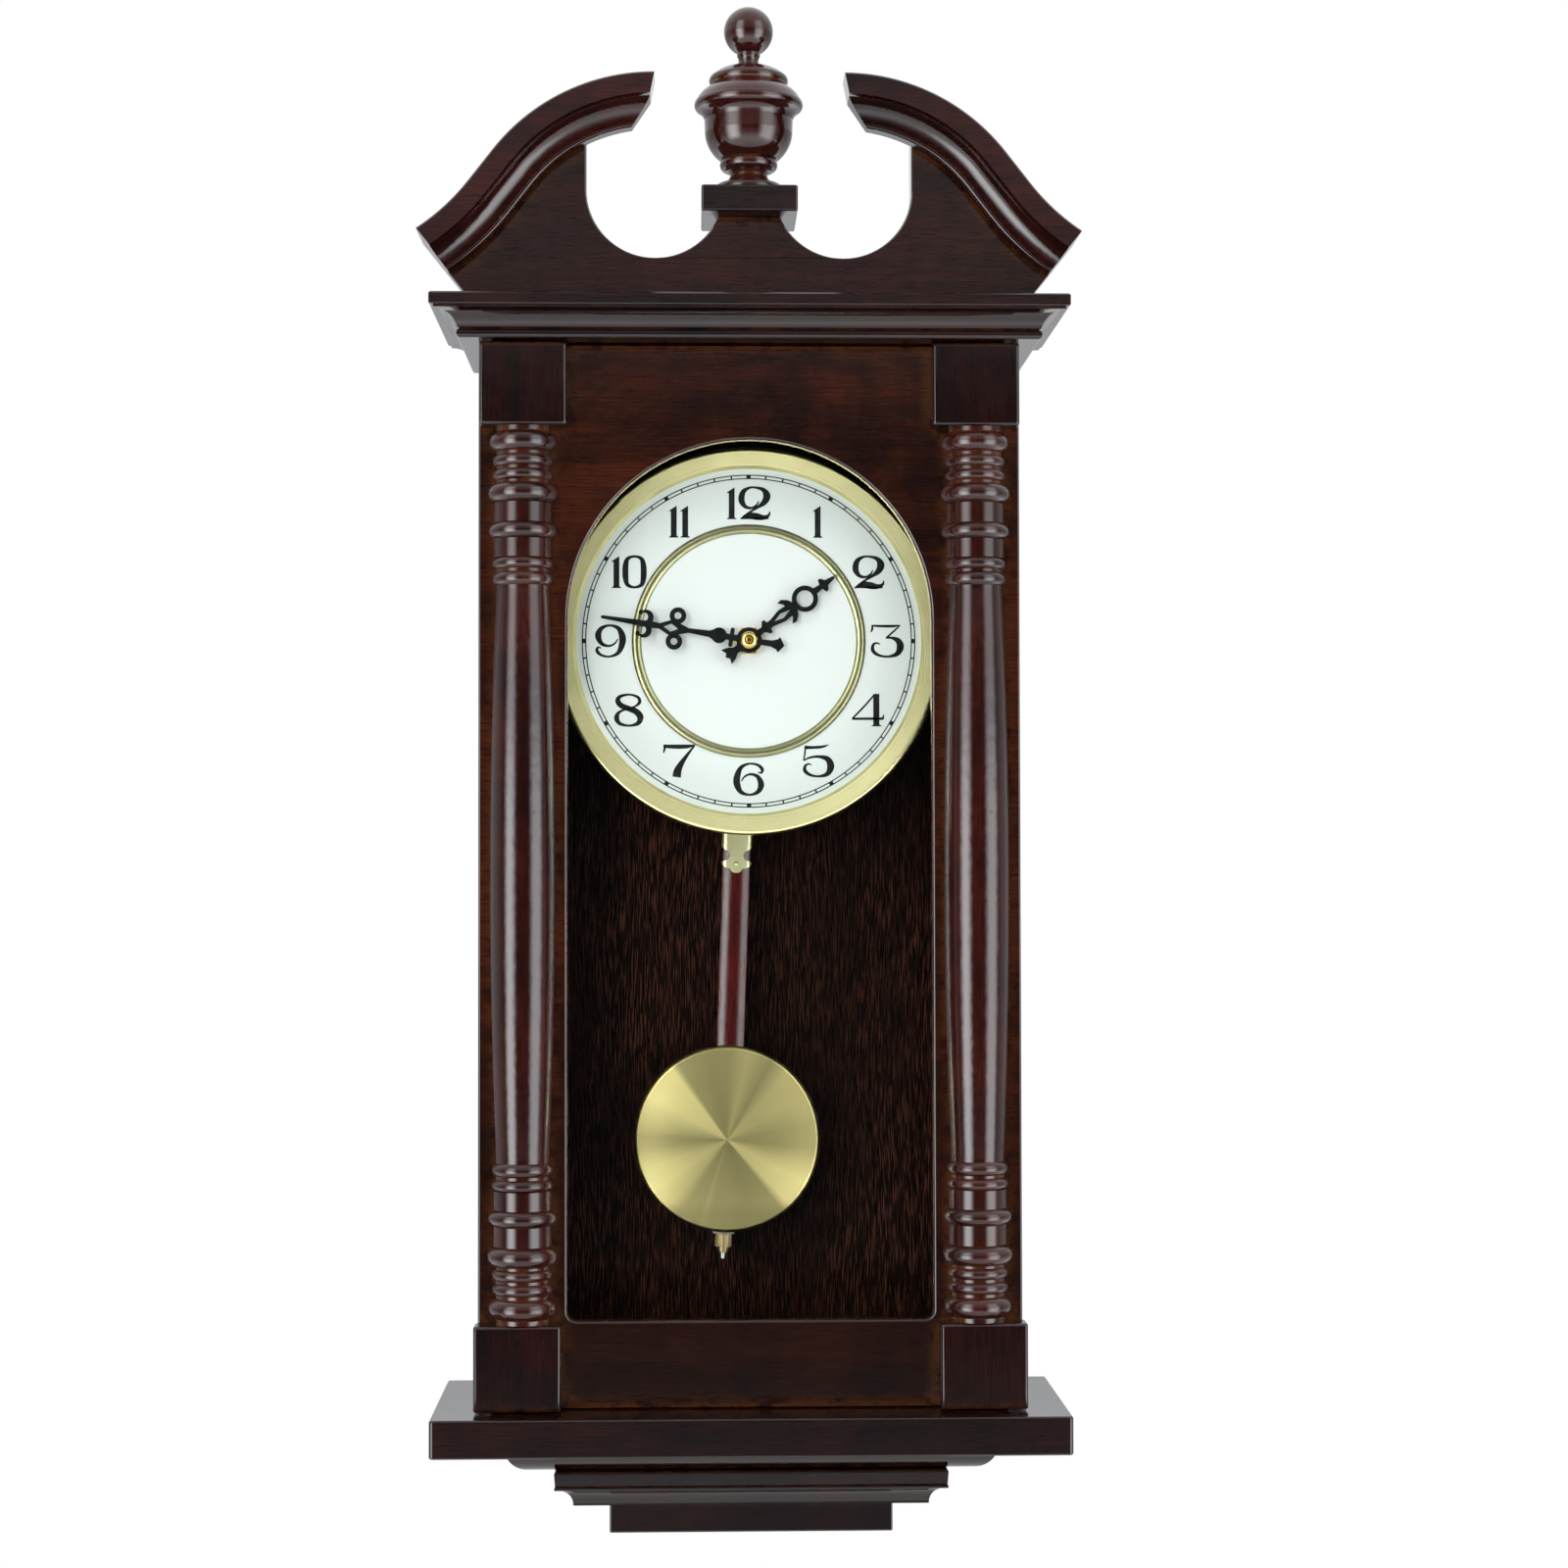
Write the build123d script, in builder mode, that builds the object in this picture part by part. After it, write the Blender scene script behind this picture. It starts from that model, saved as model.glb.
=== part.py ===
"""Pendulum wall clock with a swan-neck pediment, a glazed door with half columns, and a
quartz chiming movement.

Frame: +X right, +Z up, the clock faces -Y.  The back of the case lies in the plane Y = 0, and the
origin is the round entry of the keyhole by which the clock hangs.  All sizes are millimetres.
"Height" always means height above the lowest point of the clock, and "depth" the distance in
front of the wall.
"""

from build123d import *
import os
from math import asin, atan2, cos, degrees, pi, radians, sin

# ---------------------------------------------------------------- driving dimensions

HANGING_HEIGHT = 520.0      # the keyhole's entry above the lowest point of the clock

# case
CASE_HALF_WIDTH = 120.0
SIDE_THICKNESS = 10.0
CASE_DEPTH = 70.0
BACK_THICKNESS = 6.0
INNER_HALF_WIDTH = CASE_HALF_WIDTH - SIDE_THICKNESS

# bottom of the case, from the lowest board upwards
BLOCK_TOP = 12.9
LOWER_STEP_TOP = 29.5
UPPER_STEP_TOP = 37.7
BASE_TOP = 55.2
BASE_HALF_WIDTH = 145.2
BASE_DEPTH = 112.0

# top of the case
CORNICE_BOTTOM = 545.1
CORNICE_TOP = 564.0
CORNICE_HALF_WIDTH = 145.7
CORNICE_DEPTH = 115.0
CORNICE_PROJECTION = 25.7   # how far the cornice reaches past its own core

# pediment
TYMPANUM_BACK = 69.0
TYMPANUM_FRONT = 84.0
SWAN_FRONT = 105.0
NOTCH_RADIUS = 31.8
NOTCH_X = 43.6
NOTCH_HEIGHT = 617.4
PLINTH_BOTTOM = 604.8
PLINTH_TOP = 616.9
PLINTH_HALF_WIDTH = 22.2
PLINTH_BACK = 50.0
PLINTH_FRONT = 98.0
FINIAL_DEPTH = 74.0

# door
DOOR_HALF_WIDTH = 125.0
DOOR_BACK = CASE_DEPTH
DOOR_FRONT = 85.0
DOOR_BOTTOM = 56.0
DOOR_TOP = 544.3
OPENING_HALF_WIDTH = 84.0
OPENING_BOTTOM = 95.5
ARCH_CENTRE = 417.0
REBATE = 5.0
REBATE_FRONT = 79.0
GLASS_BACK = 77.0
COLUMN_X = 104.5
COLUMN_BOTTOM = 95.0
COLUMN_TOP = 506.0
BLOCK_FRONT = 98.0

# hinges, on the right-hand side
HINGE_X = 122.6
HINGE_DEPTH = 67.8
HINGE_HEIGHTS = (120.0, 480.0)
HINGE_HALF_LENGTH = 18.0
HINGE_GAUGE = 1.2
KNUCKLE_RADIUS = 2.2
KNUCKLE_HALF_LENGTH = 6.0
KNUCKLE_GAP = 0.2
PIN_RADIUS = 1.0
CATCH_HEIGHT = 305.0
CATCH_X = -105.0

# small countersunk wood screws, all alike
SCREW_HEAD_RADIUS = 2.6
SCREW_SHANK_RADIUS = 1.1
SCREW_LENGTH = 4.8

# dial
DIAL_HEIGHT = 409.5
DIAL_BOARD_BACK = 56.0
DIAL_PLATE_BACK = 59.2
DIAL_FRONT = 60.0
BEZEL_RADIUS = 91.2
DIAL_SIGHT_RADIUS = 81.1
DIAL_RING_OUTER = 54.9
DIAL_RING_INNER = 50.5

# hands, as angles clockwise from twelve
HOUR_HAND_ANGLE = 53.25
MINUTE_HAND_ANGLE = 279.0
HAND_GAUGE = 0.6
HOUR_HAND_DEPTH = 63.2
MINUTE_HAND_DEPTH = 65.4

# movement
MOVEMENT_HALF_WIDTH = 55.0
MOVEMENT_HALF_HEIGHT = 60.0
MOVEMENT_BACK = 24.0
MOVEMENT_SEAM = 40.0
MOVEMENT_FRONT = 56.0
MOVEMENT_WALL = 1.6
MOVEMENT_PLATE = 2.0
ARBOR_RADIUS = 1.5
THIN_ARBOR = 0.5
RUNNING = 0.05              # radial clearance of everything that turns
BOSS_TIP = 52.2             # where the front bosses end

# pendulum
PIVOT_HEIGHT = 460.0
SWING = 2.05                # degrees to the left of plumb in the rest position
PENDULUM_BACK = 27.0
PENDULUM_FRONT = 32.0
BOB_HEIGHT = 174.0
BOB_RADIUS = 44.2


# ---------------------------------------------------------------- planes and helpers

def level(height):
    """Z of a height above the lowest point of the clock."""
    return height - HANGING_HEIGHT


def plan(height):
    """Horizontal plane at a height; sketch coordinates are X and Y."""
    return Plane.XY.offset(level(height))


def facing(depth):
    """Plane parallel to the wall; sketch coordinates are X and height."""
    return Plane(origin=(0, -depth, -HANGING_HEIGHT), x_dir=(1, 0, 0), z_dir=(0, -1, 0))


def dial_plane(depth, angle=90.0):
    """Plane parallel to the wall, centred on the dial, X turned clockwise from twelve by angle."""
    turn = radians(angle)
    return Plane(
        origin=(0, -depth, level(DIAL_HEIGHT)),
        x_dir=(sin(turn), 0, cos(turn)),
        z_dir=(0, -1, 0),
    )


def slab(x_limits, depth_limits, height_limits, mode=Mode.ADD):
    """Box between pairs of coordinates, added to or cut from the piece being built."""
    with BuildSketch(plan(height_limits[0])) as outline:
        with Locations((sum(x_limits) / 2, -sum(depth_limits) / 2)):
            Rectangle(x_limits[1] - x_limits[0], depth_limits[1] - depth_limits[0])
    extrude(outline.sketch, amount=height_limits[1] - height_limits[0], mode=mode)


def rod_forward(x, height, radius, depth_limits, mode=Mode.ADD):
    """Round rod or hole square to the wall."""
    with BuildSketch(facing(depth_limits[0])) as outline:
        with Locations((x, height)):
            Circle(radius)
    extrude(outline.sketch, amount=depth_limits[1] - depth_limits[0], mode=mode)


def soften(piece, axis, position, radius):
    """Round the edges of the piece that lie wholly at one coordinate of an axis."""
    fillet(piece.edges().filter_by_position(axis, position - 0.01, position + 0.01), radius)


# ---------------------------------------------------------------- case

ACCESS_HALF_WIDTH = 50.0
ACCESS_BOTTOM = 352.0
ACCESS_TOP = 466.0
PLATE_BOTTOM = 500.0
PLATE_TOP = 542.0
PLATE_HALF_WIDTH = 12.0
PLATE_GAUGE = 1.2
KEYHOLE_RADIUS = 4.5
KEYHOLE_SLOT_RADIUS = 2.25
KEYHOLE_RISE = 11.0
HANGER_SCREW_HEIGHTS = (506.0, 538.2)
HINGE_SCREW_RISE = 11.0
CASE_LEAF_SCREW_DEPTH = 54.0
DOOR_LEAF_SCREW_X = 111.0
CASE_LEAF_BACK = 46.0
DOOR_LEAF_EDGE = 104.0
WING_HALF_HEIGHT = 25.0
WING_TIP = 114.0


def screw_outline():
    """Half section of a countersunk wood screw, head at the origin, point along +Y."""
    with BuildLine() as outline:
        Polyline(
            (0, 0),
            (SCREW_HEAD_RADIUS, 0),
            (SCREW_SHANK_RADIUS, 1.5),
            (SCREW_SHANK_RADIUS, SCREW_LENGTH - 1.2),
            (0, SCREW_LENGTH),
            close=True,
        )
    make_face(outline.edges())


def screw(head, direction, mode=Mode.ADD):
    """Screw, or the hole it cuts, with its head's middle at a point and driven along a direction."""
    across = Vector(0, 0, 1)
    section = Plane(origin=head, x_dir=across, z_dir=across.cross(Vector(*direction)))
    with BuildSketch(section) as half:
        screw_outline()
    revolve(half.sketch, axis=Axis(head, direction), mode=mode)
    if mode == Mode.ADD:
        with BuildSketch(Plane(origin=head, x_dir=across, z_dir=direction)) as recess:
            Rectangle(3.0, 0.6)
            Rectangle(0.6, 3.0)
        extrude(recess.sketch, amount=0.9, mode=Mode.SUBTRACT)


def hanger_screw_heads():
    return [(0, 0, level(height)) for height in HANGER_SCREW_HEIGHTS]


def hinge_screw_heights():
    return [
        height + rise for height in HINGE_HEIGHTS for rise in (-HINGE_SCREW_RISE, HINGE_SCREW_RISE)
    ]


def case_leaf_screw_heads():
    x = CASE_HALF_WIDTH + HINGE_GAUGE
    return [(x, -CASE_LEAF_SCREW_DEPTH, level(height)) for height in hinge_screw_heights()]


def door_screw_heads():
    leaf = [(DOOR_LEAF_SCREW_X, -DOOR_BACK, level(height)) for height in hinge_screw_heights()]
    return leaf + [(CATCH_X, -DOOR_BACK, level(CATCH_HEIGHT))]


with BuildPart() as back_panel:
    slab((-INNER_HALF_WIDTH, INNER_HALF_WIDTH), (0, BACK_THICKNESS), (BASE_TOP, CORNICE_BOTTOM))
    with BuildSketch(facing(-1)):
        with Locations((0, (ACCESS_BOTTOM + ACCESS_TOP) / 2)):
            RectangleRounded(2 * ACCESS_HALF_WIDTH, ACCESS_TOP - ACCESS_BOTTOM, 6)
    extrude(amount=BACK_THICKNESS + 2, mode=Mode.SUBTRACT)
    # the keyhole plate is let in flush, over a pocket for the head of the wall screw
    slab(
        (-PLATE_HALF_WIDTH, PLATE_HALF_WIDTH),
        (0, PLATE_GAUGE),
        (PLATE_BOTTOM, PLATE_TOP),
        mode=Mode.SUBTRACT,
    )
    with BuildSketch(facing(PLATE_GAUGE)):
        with Locations((0, HANGING_HEIGHT + KEYHOLE_RISE / 2)):
            SlotCenterToCenter(KEYHOLE_RISE, 12.5, rotation=90)
    extrude(amount=3.6, mode=Mode.SUBTRACT)
    for head in hanger_screw_heads():
        screw(head, (0, -1, 0), mode=Mode.SUBTRACT)


def case_side(direction):
    """Side board, housed for the dial board's wing; direction is -1 for left and 1 for right."""
    inner = direction * INNER_HALF_WIDTH
    outer = direction * CASE_HALF_WIDTH
    slab(sorted((inner, outer)), (0, CASE_DEPTH), (BASE_TOP, CORNICE_BOTTOM))
    slab(
        sorted((inner, direction * WING_TIP)),
        (DIAL_BOARD_BACK, DIAL_PLATE_BACK),
        (DIAL_HEIGHT - WING_HALF_HEIGHT, DIAL_HEIGHT + WING_HALF_HEIGHT),
        mode=Mode.SUBTRACT,
    )


with BuildPart() as side_left:
    case_side(-1)

with BuildPart() as side_right:
    case_side(1)
    for head in case_leaf_screw_heads():
        screw(head, (-1, 0, 0), mode=Mode.SUBTRACT)


def three_sides(half_width, depth):
    """Path along the left, front and right edges of a board that stands against the wall."""
    return Polyline(
        (-half_width, 0, 0),
        (-half_width, -depth, 0),
        (half_width, -depth, 0),
        (half_width, 0, 0),
    )


def section_plane(half_width):
    """Where a moulding's section is drawn: X outwards from the left edge, Y as height."""
    return Plane(
        origin=(-half_width, 0, -HANGING_HEIGHT),
        x_dir=(-1, 0, 0),
        z_dir=(0, 1, 0),
    )


with BuildPart() as cornice_board:
    core_half_width = CORNICE_HALF_WIDTH - CORNICE_PROJECTION
    core_depth = CORNICE_DEPTH - CORNICE_PROJECTION
    with BuildLine() as cornice_path:
        three_sides(core_half_width, core_depth)
    with BuildSketch(section_plane(core_half_width)):
        with BuildLine():
            Line((0, CORNICE_BOTTOM), (12.6, CORNICE_BOTTOM))
            ThreePointArc((12.6, CORNICE_BOTTOM), (14.0, 547.1), (12.6, 549.2))
            Line((12.6, 549.2), (13.6, 549.9))
            ThreePointArc((13.6, 549.9), (17.0, 555.2), (23.8, 557.2))
            Line((23.8, 557.2), (23.8, 558.4))
            Line((23.8, 558.4), (25.2, 558.4))
            Line((25.2, 558.4), (CORNICE_PROJECTION, 558.9))
            Line((CORNICE_PROJECTION, 558.9), (CORNICE_PROJECTION, 563.2))
            Line((CORNICE_PROJECTION, 563.2), (24.9, CORNICE_TOP))
            Line((24.9, CORNICE_TOP), (0, CORNICE_TOP))
            Line((0, CORNICE_TOP), (0, CORNICE_BOTTOM))
        make_face()
    sweep(path=cornice_path.wires()[0], transition=Transition.RIGHT)
    slab((-core_half_width, core_half_width), (0, core_depth), (CORNICE_BOTTOM, CORNICE_TOP))

with BuildPart() as base_board:
    slab((-BASE_HALF_WIDTH, BASE_HALF_WIDTH), (0, BASE_DEPTH), (UPPER_STEP_TOP, BASE_TOP))
    corners = base_board.edges().filter_by(Axis.Z).group_by(Axis.Y)[0]
    fillet(corners, 2.0)
    soften(base_board, Axis.Z, level(BASE_TOP), 1.2)
    soften(base_board, Axis.Z, level(UPPER_STEP_TOP), 1.0)

UPPER_STEP_HALF_WIDTH = 111.0
UPPER_STEP_DEPTH = 104.0
UPPER_STEP_ROUND = 14.0
LOWER_STEP_HALF_WIDTH = 89.5
LOWER_STEP_DEPTH = 100.0
LOWER_STEP_COVE = 9.0
BLOCK_HALF_WIDTH = 64.6
BLOCK_DEPTH = 90.0

with BuildPart() as base_step_upper:
    core_half_width = UPPER_STEP_HALF_WIDTH - UPPER_STEP_ROUND
    core_depth = UPPER_STEP_DEPTH - UPPER_STEP_ROUND
    with BuildLine() as upper_step_path:
        three_sides(core_half_width, core_depth)
    with BuildSketch(section_plane(core_half_width)):
        with BuildLine():
            Line((0, LOWER_STEP_TOP), (2.0, LOWER_STEP_TOP))
            TangentArc((2.0, LOWER_STEP_TOP), (UPPER_STEP_ROUND, UPPER_STEP_TOP), tangent=(1, 0))
            Line((UPPER_STEP_ROUND, UPPER_STEP_TOP), (0, UPPER_STEP_TOP))
            Line((0, UPPER_STEP_TOP), (0, LOWER_STEP_TOP))
        make_face()
    sweep(path=upper_step_path.wires()[0], transition=Transition.RIGHT)
    slab(
        (-core_half_width, core_half_width),
        (0, core_depth),
        (LOWER_STEP_TOP, UPPER_STEP_TOP),
    )

with BuildPart() as base_step_lower:
    core_half_width = LOWER_STEP_HALF_WIDTH - LOWER_STEP_COVE
    core_depth = LOWER_STEP_DEPTH - LOWER_STEP_COVE
    cove_top = 21.0
    edge = 1.1                      # radius of the rounded upper edge
    with BuildLine() as lower_step_path:
        three_sides(core_half_width, core_depth)
    with BuildSketch(section_plane(core_half_width)):
        with BuildLine():
            Line((0, BLOCK_TOP), (0.6, BLOCK_TOP))
            ThreePointArc((0.6, BLOCK_TOP), (2.6, 18.4), (7.4, cove_top))
            Line((7.4, cove_top), (8.2, cove_top))
            ThreePointArc((8.2, cove_top), (9.0, 21.8), (8.2, 22.6))
            Line((8.2, 22.6), (LOWER_STEP_COVE - 0.4, 23.2))
            Line((LOWER_STEP_COVE - 0.4, 23.2), (LOWER_STEP_COVE, LOWER_STEP_TOP - edge))
            CenterArc((LOWER_STEP_COVE - edge, LOWER_STEP_TOP - edge), edge, 0, 90)
            Line((LOWER_STEP_COVE - edge, LOWER_STEP_TOP), (0, LOWER_STEP_TOP))
            Line((0, LOWER_STEP_TOP), (0, BLOCK_TOP))
        make_face()
    sweep(path=lower_step_path.wires()[0], transition=Transition.RIGHT)
    slab((-core_half_width, core_half_width), (0, core_depth), (BLOCK_TOP, LOWER_STEP_TOP))

with BuildPart() as base_block:
    slab((-BLOCK_HALF_WIDTH, BLOCK_HALF_WIDTH), (0, BLOCK_DEPTH), (0, BLOCK_TOP))
    fillet(base_block.edges().filter_by(Axis.Z).group_by(Axis.Y)[0], 0.8)
    soften(base_block, Axis.Z, level(0), 0.8)


# ---------------------------------------------------------------- pediment

# The swan neck's top edge is a crown, a short straight and a hollow, all tangent to each other.
SWAN_CURL = (-43.6, 667.2)          # inner, upper end
SWAN_HEADING = 180.0                # direction in which the edge sets out from there
SWAN_CROWN_RADIUS = 93.5
SWAN_CROWN_SWEEP = 52.0
SWAN_STRAIGHT = 18.5
SWAN_HOLLOW_RADIUS = 101.0
SWAN_HOLLOW_SWEEP = -18.4
SWAN_WIDTH = 22.0
SWAN_FILLET = 9.8
COVE_DEPTH = 10.6                   # how far the cove below the fillet sinks back
COVE_HEIGHT = 9.6
END_CUT_RUN = (21.9, -27.4)         # direction of the slanting outer end


def along(start, heading, distance):
    """Point at a distance from another along a heading in degrees."""
    return (start[0] + distance * cos(radians(heading)), start[1] + distance * sin(radians(heading)))


def arc_points(start, heading, radius, sweep_angle):
    """Middle and end of an arc that leaves a point along a heading; positive turns to the left."""
    side = 90 if sweep_angle > 0 else -90
    centre = along(start, heading + side, radius)
    return [along(centre, heading - side + sweep_angle * share, radius) for share in (0.5, 1.0)]


CROWN = arc_points(SWAN_CURL, SWAN_HEADING, SWAN_CROWN_RADIUS, SWAN_CROWN_SWEEP)
STRAIGHT_END = along(CROWN[1], SWAN_HEADING + SWAN_CROWN_SWEEP, SWAN_STRAIGHT)
HOLLOW = arc_points(
    STRAIGHT_END, SWAN_HEADING + SWAN_CROWN_SWEEP, SWAN_HOLLOW_RADIUS, SWAN_HOLLOW_SWEEP
)
SWAN_TIP = HOLLOW[1]


def swan_curve():
    """Top edge of the left swan neck, from the inner end to the outer tip."""
    ThreePointArc(SWAN_CURL, *CROWN)
    Line(CROWN[1], STRAIGHT_END)
    ThreePointArc(STRAIGHT_END, *HOLLOW)


def end_cut(height):
    """X on the slanting end of the pediment at a height."""
    return SWAN_TIP[0] + (SWAN_TIP[1] - height) * END_CUT_RUN[0] / -END_CUT_RUN[1]


with BuildPart() as tympanum:
    with BuildSketch(facing(TYMPANUM_BACK)):
        with BuildLine():
            swan_curve()
            Line(SWAN_TIP, (end_cut(CORNICE_TOP), CORNICE_TOP))
            Line((end_cut(CORNICE_TOP), CORNICE_TOP), (0, CORNICE_TOP))
            Line((0, CORNICE_TOP), (0, SWAN_CURL[1]))
            Line((0, SWAN_CURL[1]), SWAN_CURL)
        make_face()
        with Locations((-NOTCH_X, NOTCH_HEIGHT)):
            Circle(NOTCH_RADIUS, mode=Mode.SUBTRACT)
        with Locations((-(NOTCH_X + NOTCH_RADIUS) / 2, NOTCH_HEIGHT + 50)):
            Rectangle(NOTCH_X + NOTCH_RADIUS, 100, mode=Mode.SUBTRACT)
        with Locations((-NOTCH_X / 2, PLINTH_BOTTOM + 50)):
            Rectangle(NOTCH_X, 100, mode=Mode.SUBTRACT)
    extrude(amount=TYMPANUM_FRONT - TYMPANUM_BACK)
    mirror(about=Plane.YZ)


def swan_section():
    """Section of the swan neck: X is depth beyond the tympanum, Y runs down from the top edge."""
    relief = SWAN_FRONT - TYMPANUM_FRONT
    arris = 1.0
    cove_top = (relief - arris, -SWAN_FILLET)
    cove_foot = (cove_top[0] - COVE_DEPTH, cove_top[1] - COVE_HEIGHT)
    cove_middle = (
        cove_foot[0] + COVE_DEPTH * (1 - cos(radians(45))),
        cove_foot[1] + COVE_HEIGHT * sin(radians(45)),
    )
    bead_top = (cove_foot[0] - 1.0, cove_foot[1] - 0.1)
    bead_foot = (cove_foot[0] - 2.0, -SWAN_WIDTH)
    with BuildLine() as outline:
        Line((0, 0), (relief - 0.8, 0))
        Line((relief - 0.8, 0), (relief, -0.8))
        Line((relief, -0.8), (relief, -SWAN_FILLET))
        Line((relief, -SWAN_FILLET), cove_top)
        ThreePointArc(cove_top, cove_middle, cove_foot)
        Line(cove_foot, bead_top)
        ThreePointArc(bead_top, (bead_top[0] + 0.4, bead_top[1] - 1.4), bead_foot)
        Line(bead_foot, (0, -SWAN_WIDTH))
        Line((0, -SWAN_WIDTH), (0, 0))
    make_face(outline.edges())


SWAN_OVERRUN = 9.0                  # how far the moulding is run past its ends before they are cut

with BuildPart() as swan_neck_left:
    run_in = along(SWAN_CURL, SWAN_HEADING, -SWAN_OVERRUN)
    with BuildLine(facing(TYMPANUM_FRONT)) as swan_path:
        Line(run_in, SWAN_CURL)
        swan_curve()
        out_heading = SWAN_HEADING + SWAN_CROWN_SWEEP + SWAN_HOLLOW_SWEEP
        Line(SWAN_TIP, along(SWAN_TIP, out_heading, 3 * SWAN_OVERRUN))
    section_origin = (run_in[0], -TYMPANUM_FRONT, level(run_in[1]))
    with BuildSketch(Plane(origin=section_origin, x_dir=(0, -1, 0), z_dir=(-1, 0, 0))):
        swan_section()
    sweep(path=swan_path.wires()[0])
    # slanting cut of the outer end, in line with the end of the tympanum
    with BuildSketch(facing(TYMPANUM_FRONT - 1)):
        with BuildLine():
            Polyline(
                (end_cut(630), 630),
                (end_cut(540), 540),
                (end_cut(540) - 90, 540),
                (end_cut(630) - 60, 630),
                close=True,
            )
        make_face()
    extrude(amount=SWAN_FRONT - TYMPANUM_FRONT + 3, mode=Mode.SUBTRACT)
    # the inner end is cut square across the fillet, then undercut below it
    with BuildSketch(facing(TYMPANUM_FRONT - 1)):
        with BuildLine():
            Polyline(
                (SWAN_CURL[0] + 0.6, 675),
                SWAN_CURL,
                (-45.6, 657.2),
                (-54.6, 643.9),
                (-57.4, 632.0),
                (-20.0, 632.0),
                (-20.0, 675),
                close=True,
            )
        make_face()
    extrude(amount=SWAN_FRONT - TYMPANUM_FRONT + 3, mode=Mode.SUBTRACT)

with BuildPart() as swan_neck_right:
    add(mirror(swan_neck_left.part, about=Plane.YZ, mode=Mode.PRIVATE))

DOWEL_RADIUS = 4.0
DOWEL_BOTTOM = 607.5

with BuildPart() as finial_plinth:
    slab(
        (-PLINTH_HALF_WIDTH, PLINTH_HALF_WIDTH),
        (PLINTH_BACK, PLINTH_FRONT),
        (PLINTH_BOTTOM, PLINTH_TOP),
    )
    fillet(finial_plinth.edges(), 1.1)
    with BuildSketch(plan(DOWEL_BOTTOM)):
        with Locations((0, -FINIAL_DEPTH)):
            Circle(DOWEL_RADIUS)
    extrude(amount=PLINTH_TOP - DOWEL_BOTTOM + 1, mode=Mode.SUBTRACT)

BALL_HEIGHT = 693.7
BALL_RADIUS = 11.5
BALL_START = -62.0                  # where the ball springs from its neck, in degrees

with BuildPart() as finial:
    ball_start = along((0, BALL_HEIGHT), BALL_START, BALL_RADIUS)
    with BuildSketch(facing(FINIAL_DEPTH)):
        with BuildLine():
            # dowel and foot
            Polyline(
                (0, DOWEL_BOTTOM),
                (DOWEL_RADIUS, DOWEL_BOTTOM),
                (DOWEL_RADIUS, PLINTH_TOP),
                (15.2, PLINTH_TOP),
            )
            ThreePointArc((15.2, PLINTH_TOP), (15.9, 619.2), (14.6, 621.6))
            ThreePointArc((14.6, 621.6), (10.6, 622.9), (8.8, 626.4))
            # bead under the bowl
            Line((8.8, 626.4), (9.6, 627.6))
            ThreePointArc((9.6, 627.6), (13.4, 630.2), (12.6, 633.4))
            # bowl, swelling upwards to the flared rim
            Line((12.6, 633.4), (13.9, 633.6))
            ThreePointArc((13.9, 633.6), (18.4, 638.9), (20.5, 645.6))
            Line((20.5, 645.6), (20.7, 651.8))
            ThreePointArc((20.7, 651.8), (21.7, 654.4), (24.2, 656.6))
            ThreePointArc((24.2, 656.6), (25.4, 658.8), (24.6, 661.2))
            ThreePointArc((24.6, 661.2), (22.2, 664.6), (18.6, 667.4))
            # lid
            Line((18.6, 667.4), (17.6, 668.4))
            ThreePointArc((17.6, 668.4), (18.5, 670.6), (16.8, 673.2))
            ThreePointArc((16.8, 673.2), (12.6, 675.8), (6.6, 677.3))
            Line((6.6, 677.3), (5.2, 677.6))
            ThreePointArc((5.2, 677.6), (4.7, 680.0), (5.4, 682.2))
            Line((5.4, 682.2), ball_start)
            CenterArc((0, BALL_HEIGHT), BALL_RADIUS, BALL_START, 90 - BALL_START)
            Line((0, BALL_HEIGHT + BALL_RADIUS), (0, DOWEL_BOTTOM))
        make_face()
    revolve(axis=Axis((0, -FINIAL_DEPTH, 0), (0, 0, 1)))


# ---------------------------------------------------------------- door

def arched_opening(grow):
    """Outline of the door's opening, grown outwards all round."""
    half_width = OPENING_HALF_WIDTH + grow
    bottom = OPENING_BOTTOM - grow
    with Locations((0, ARCH_CENTRE)):
        Circle(half_width)
    with Locations((0, (bottom + ARCH_CENTRE) / 2)):
        Rectangle(2 * half_width, ARCH_CENTRE - bottom)


def opening_solid(grow, depth_limits, corner, mode=Mode.ADD):
    """Arched slab or hole with rounded lower corners."""
    with BuildSketch(facing(depth_limits[0])) as outline:
        arched_opening(grow)
        fillet(outline.vertices().group_by(Axis.Z)[0], corner)
    extrude(outline.sketch, amount=depth_limits[1] - depth_limits[0], mode=mode)


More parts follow.
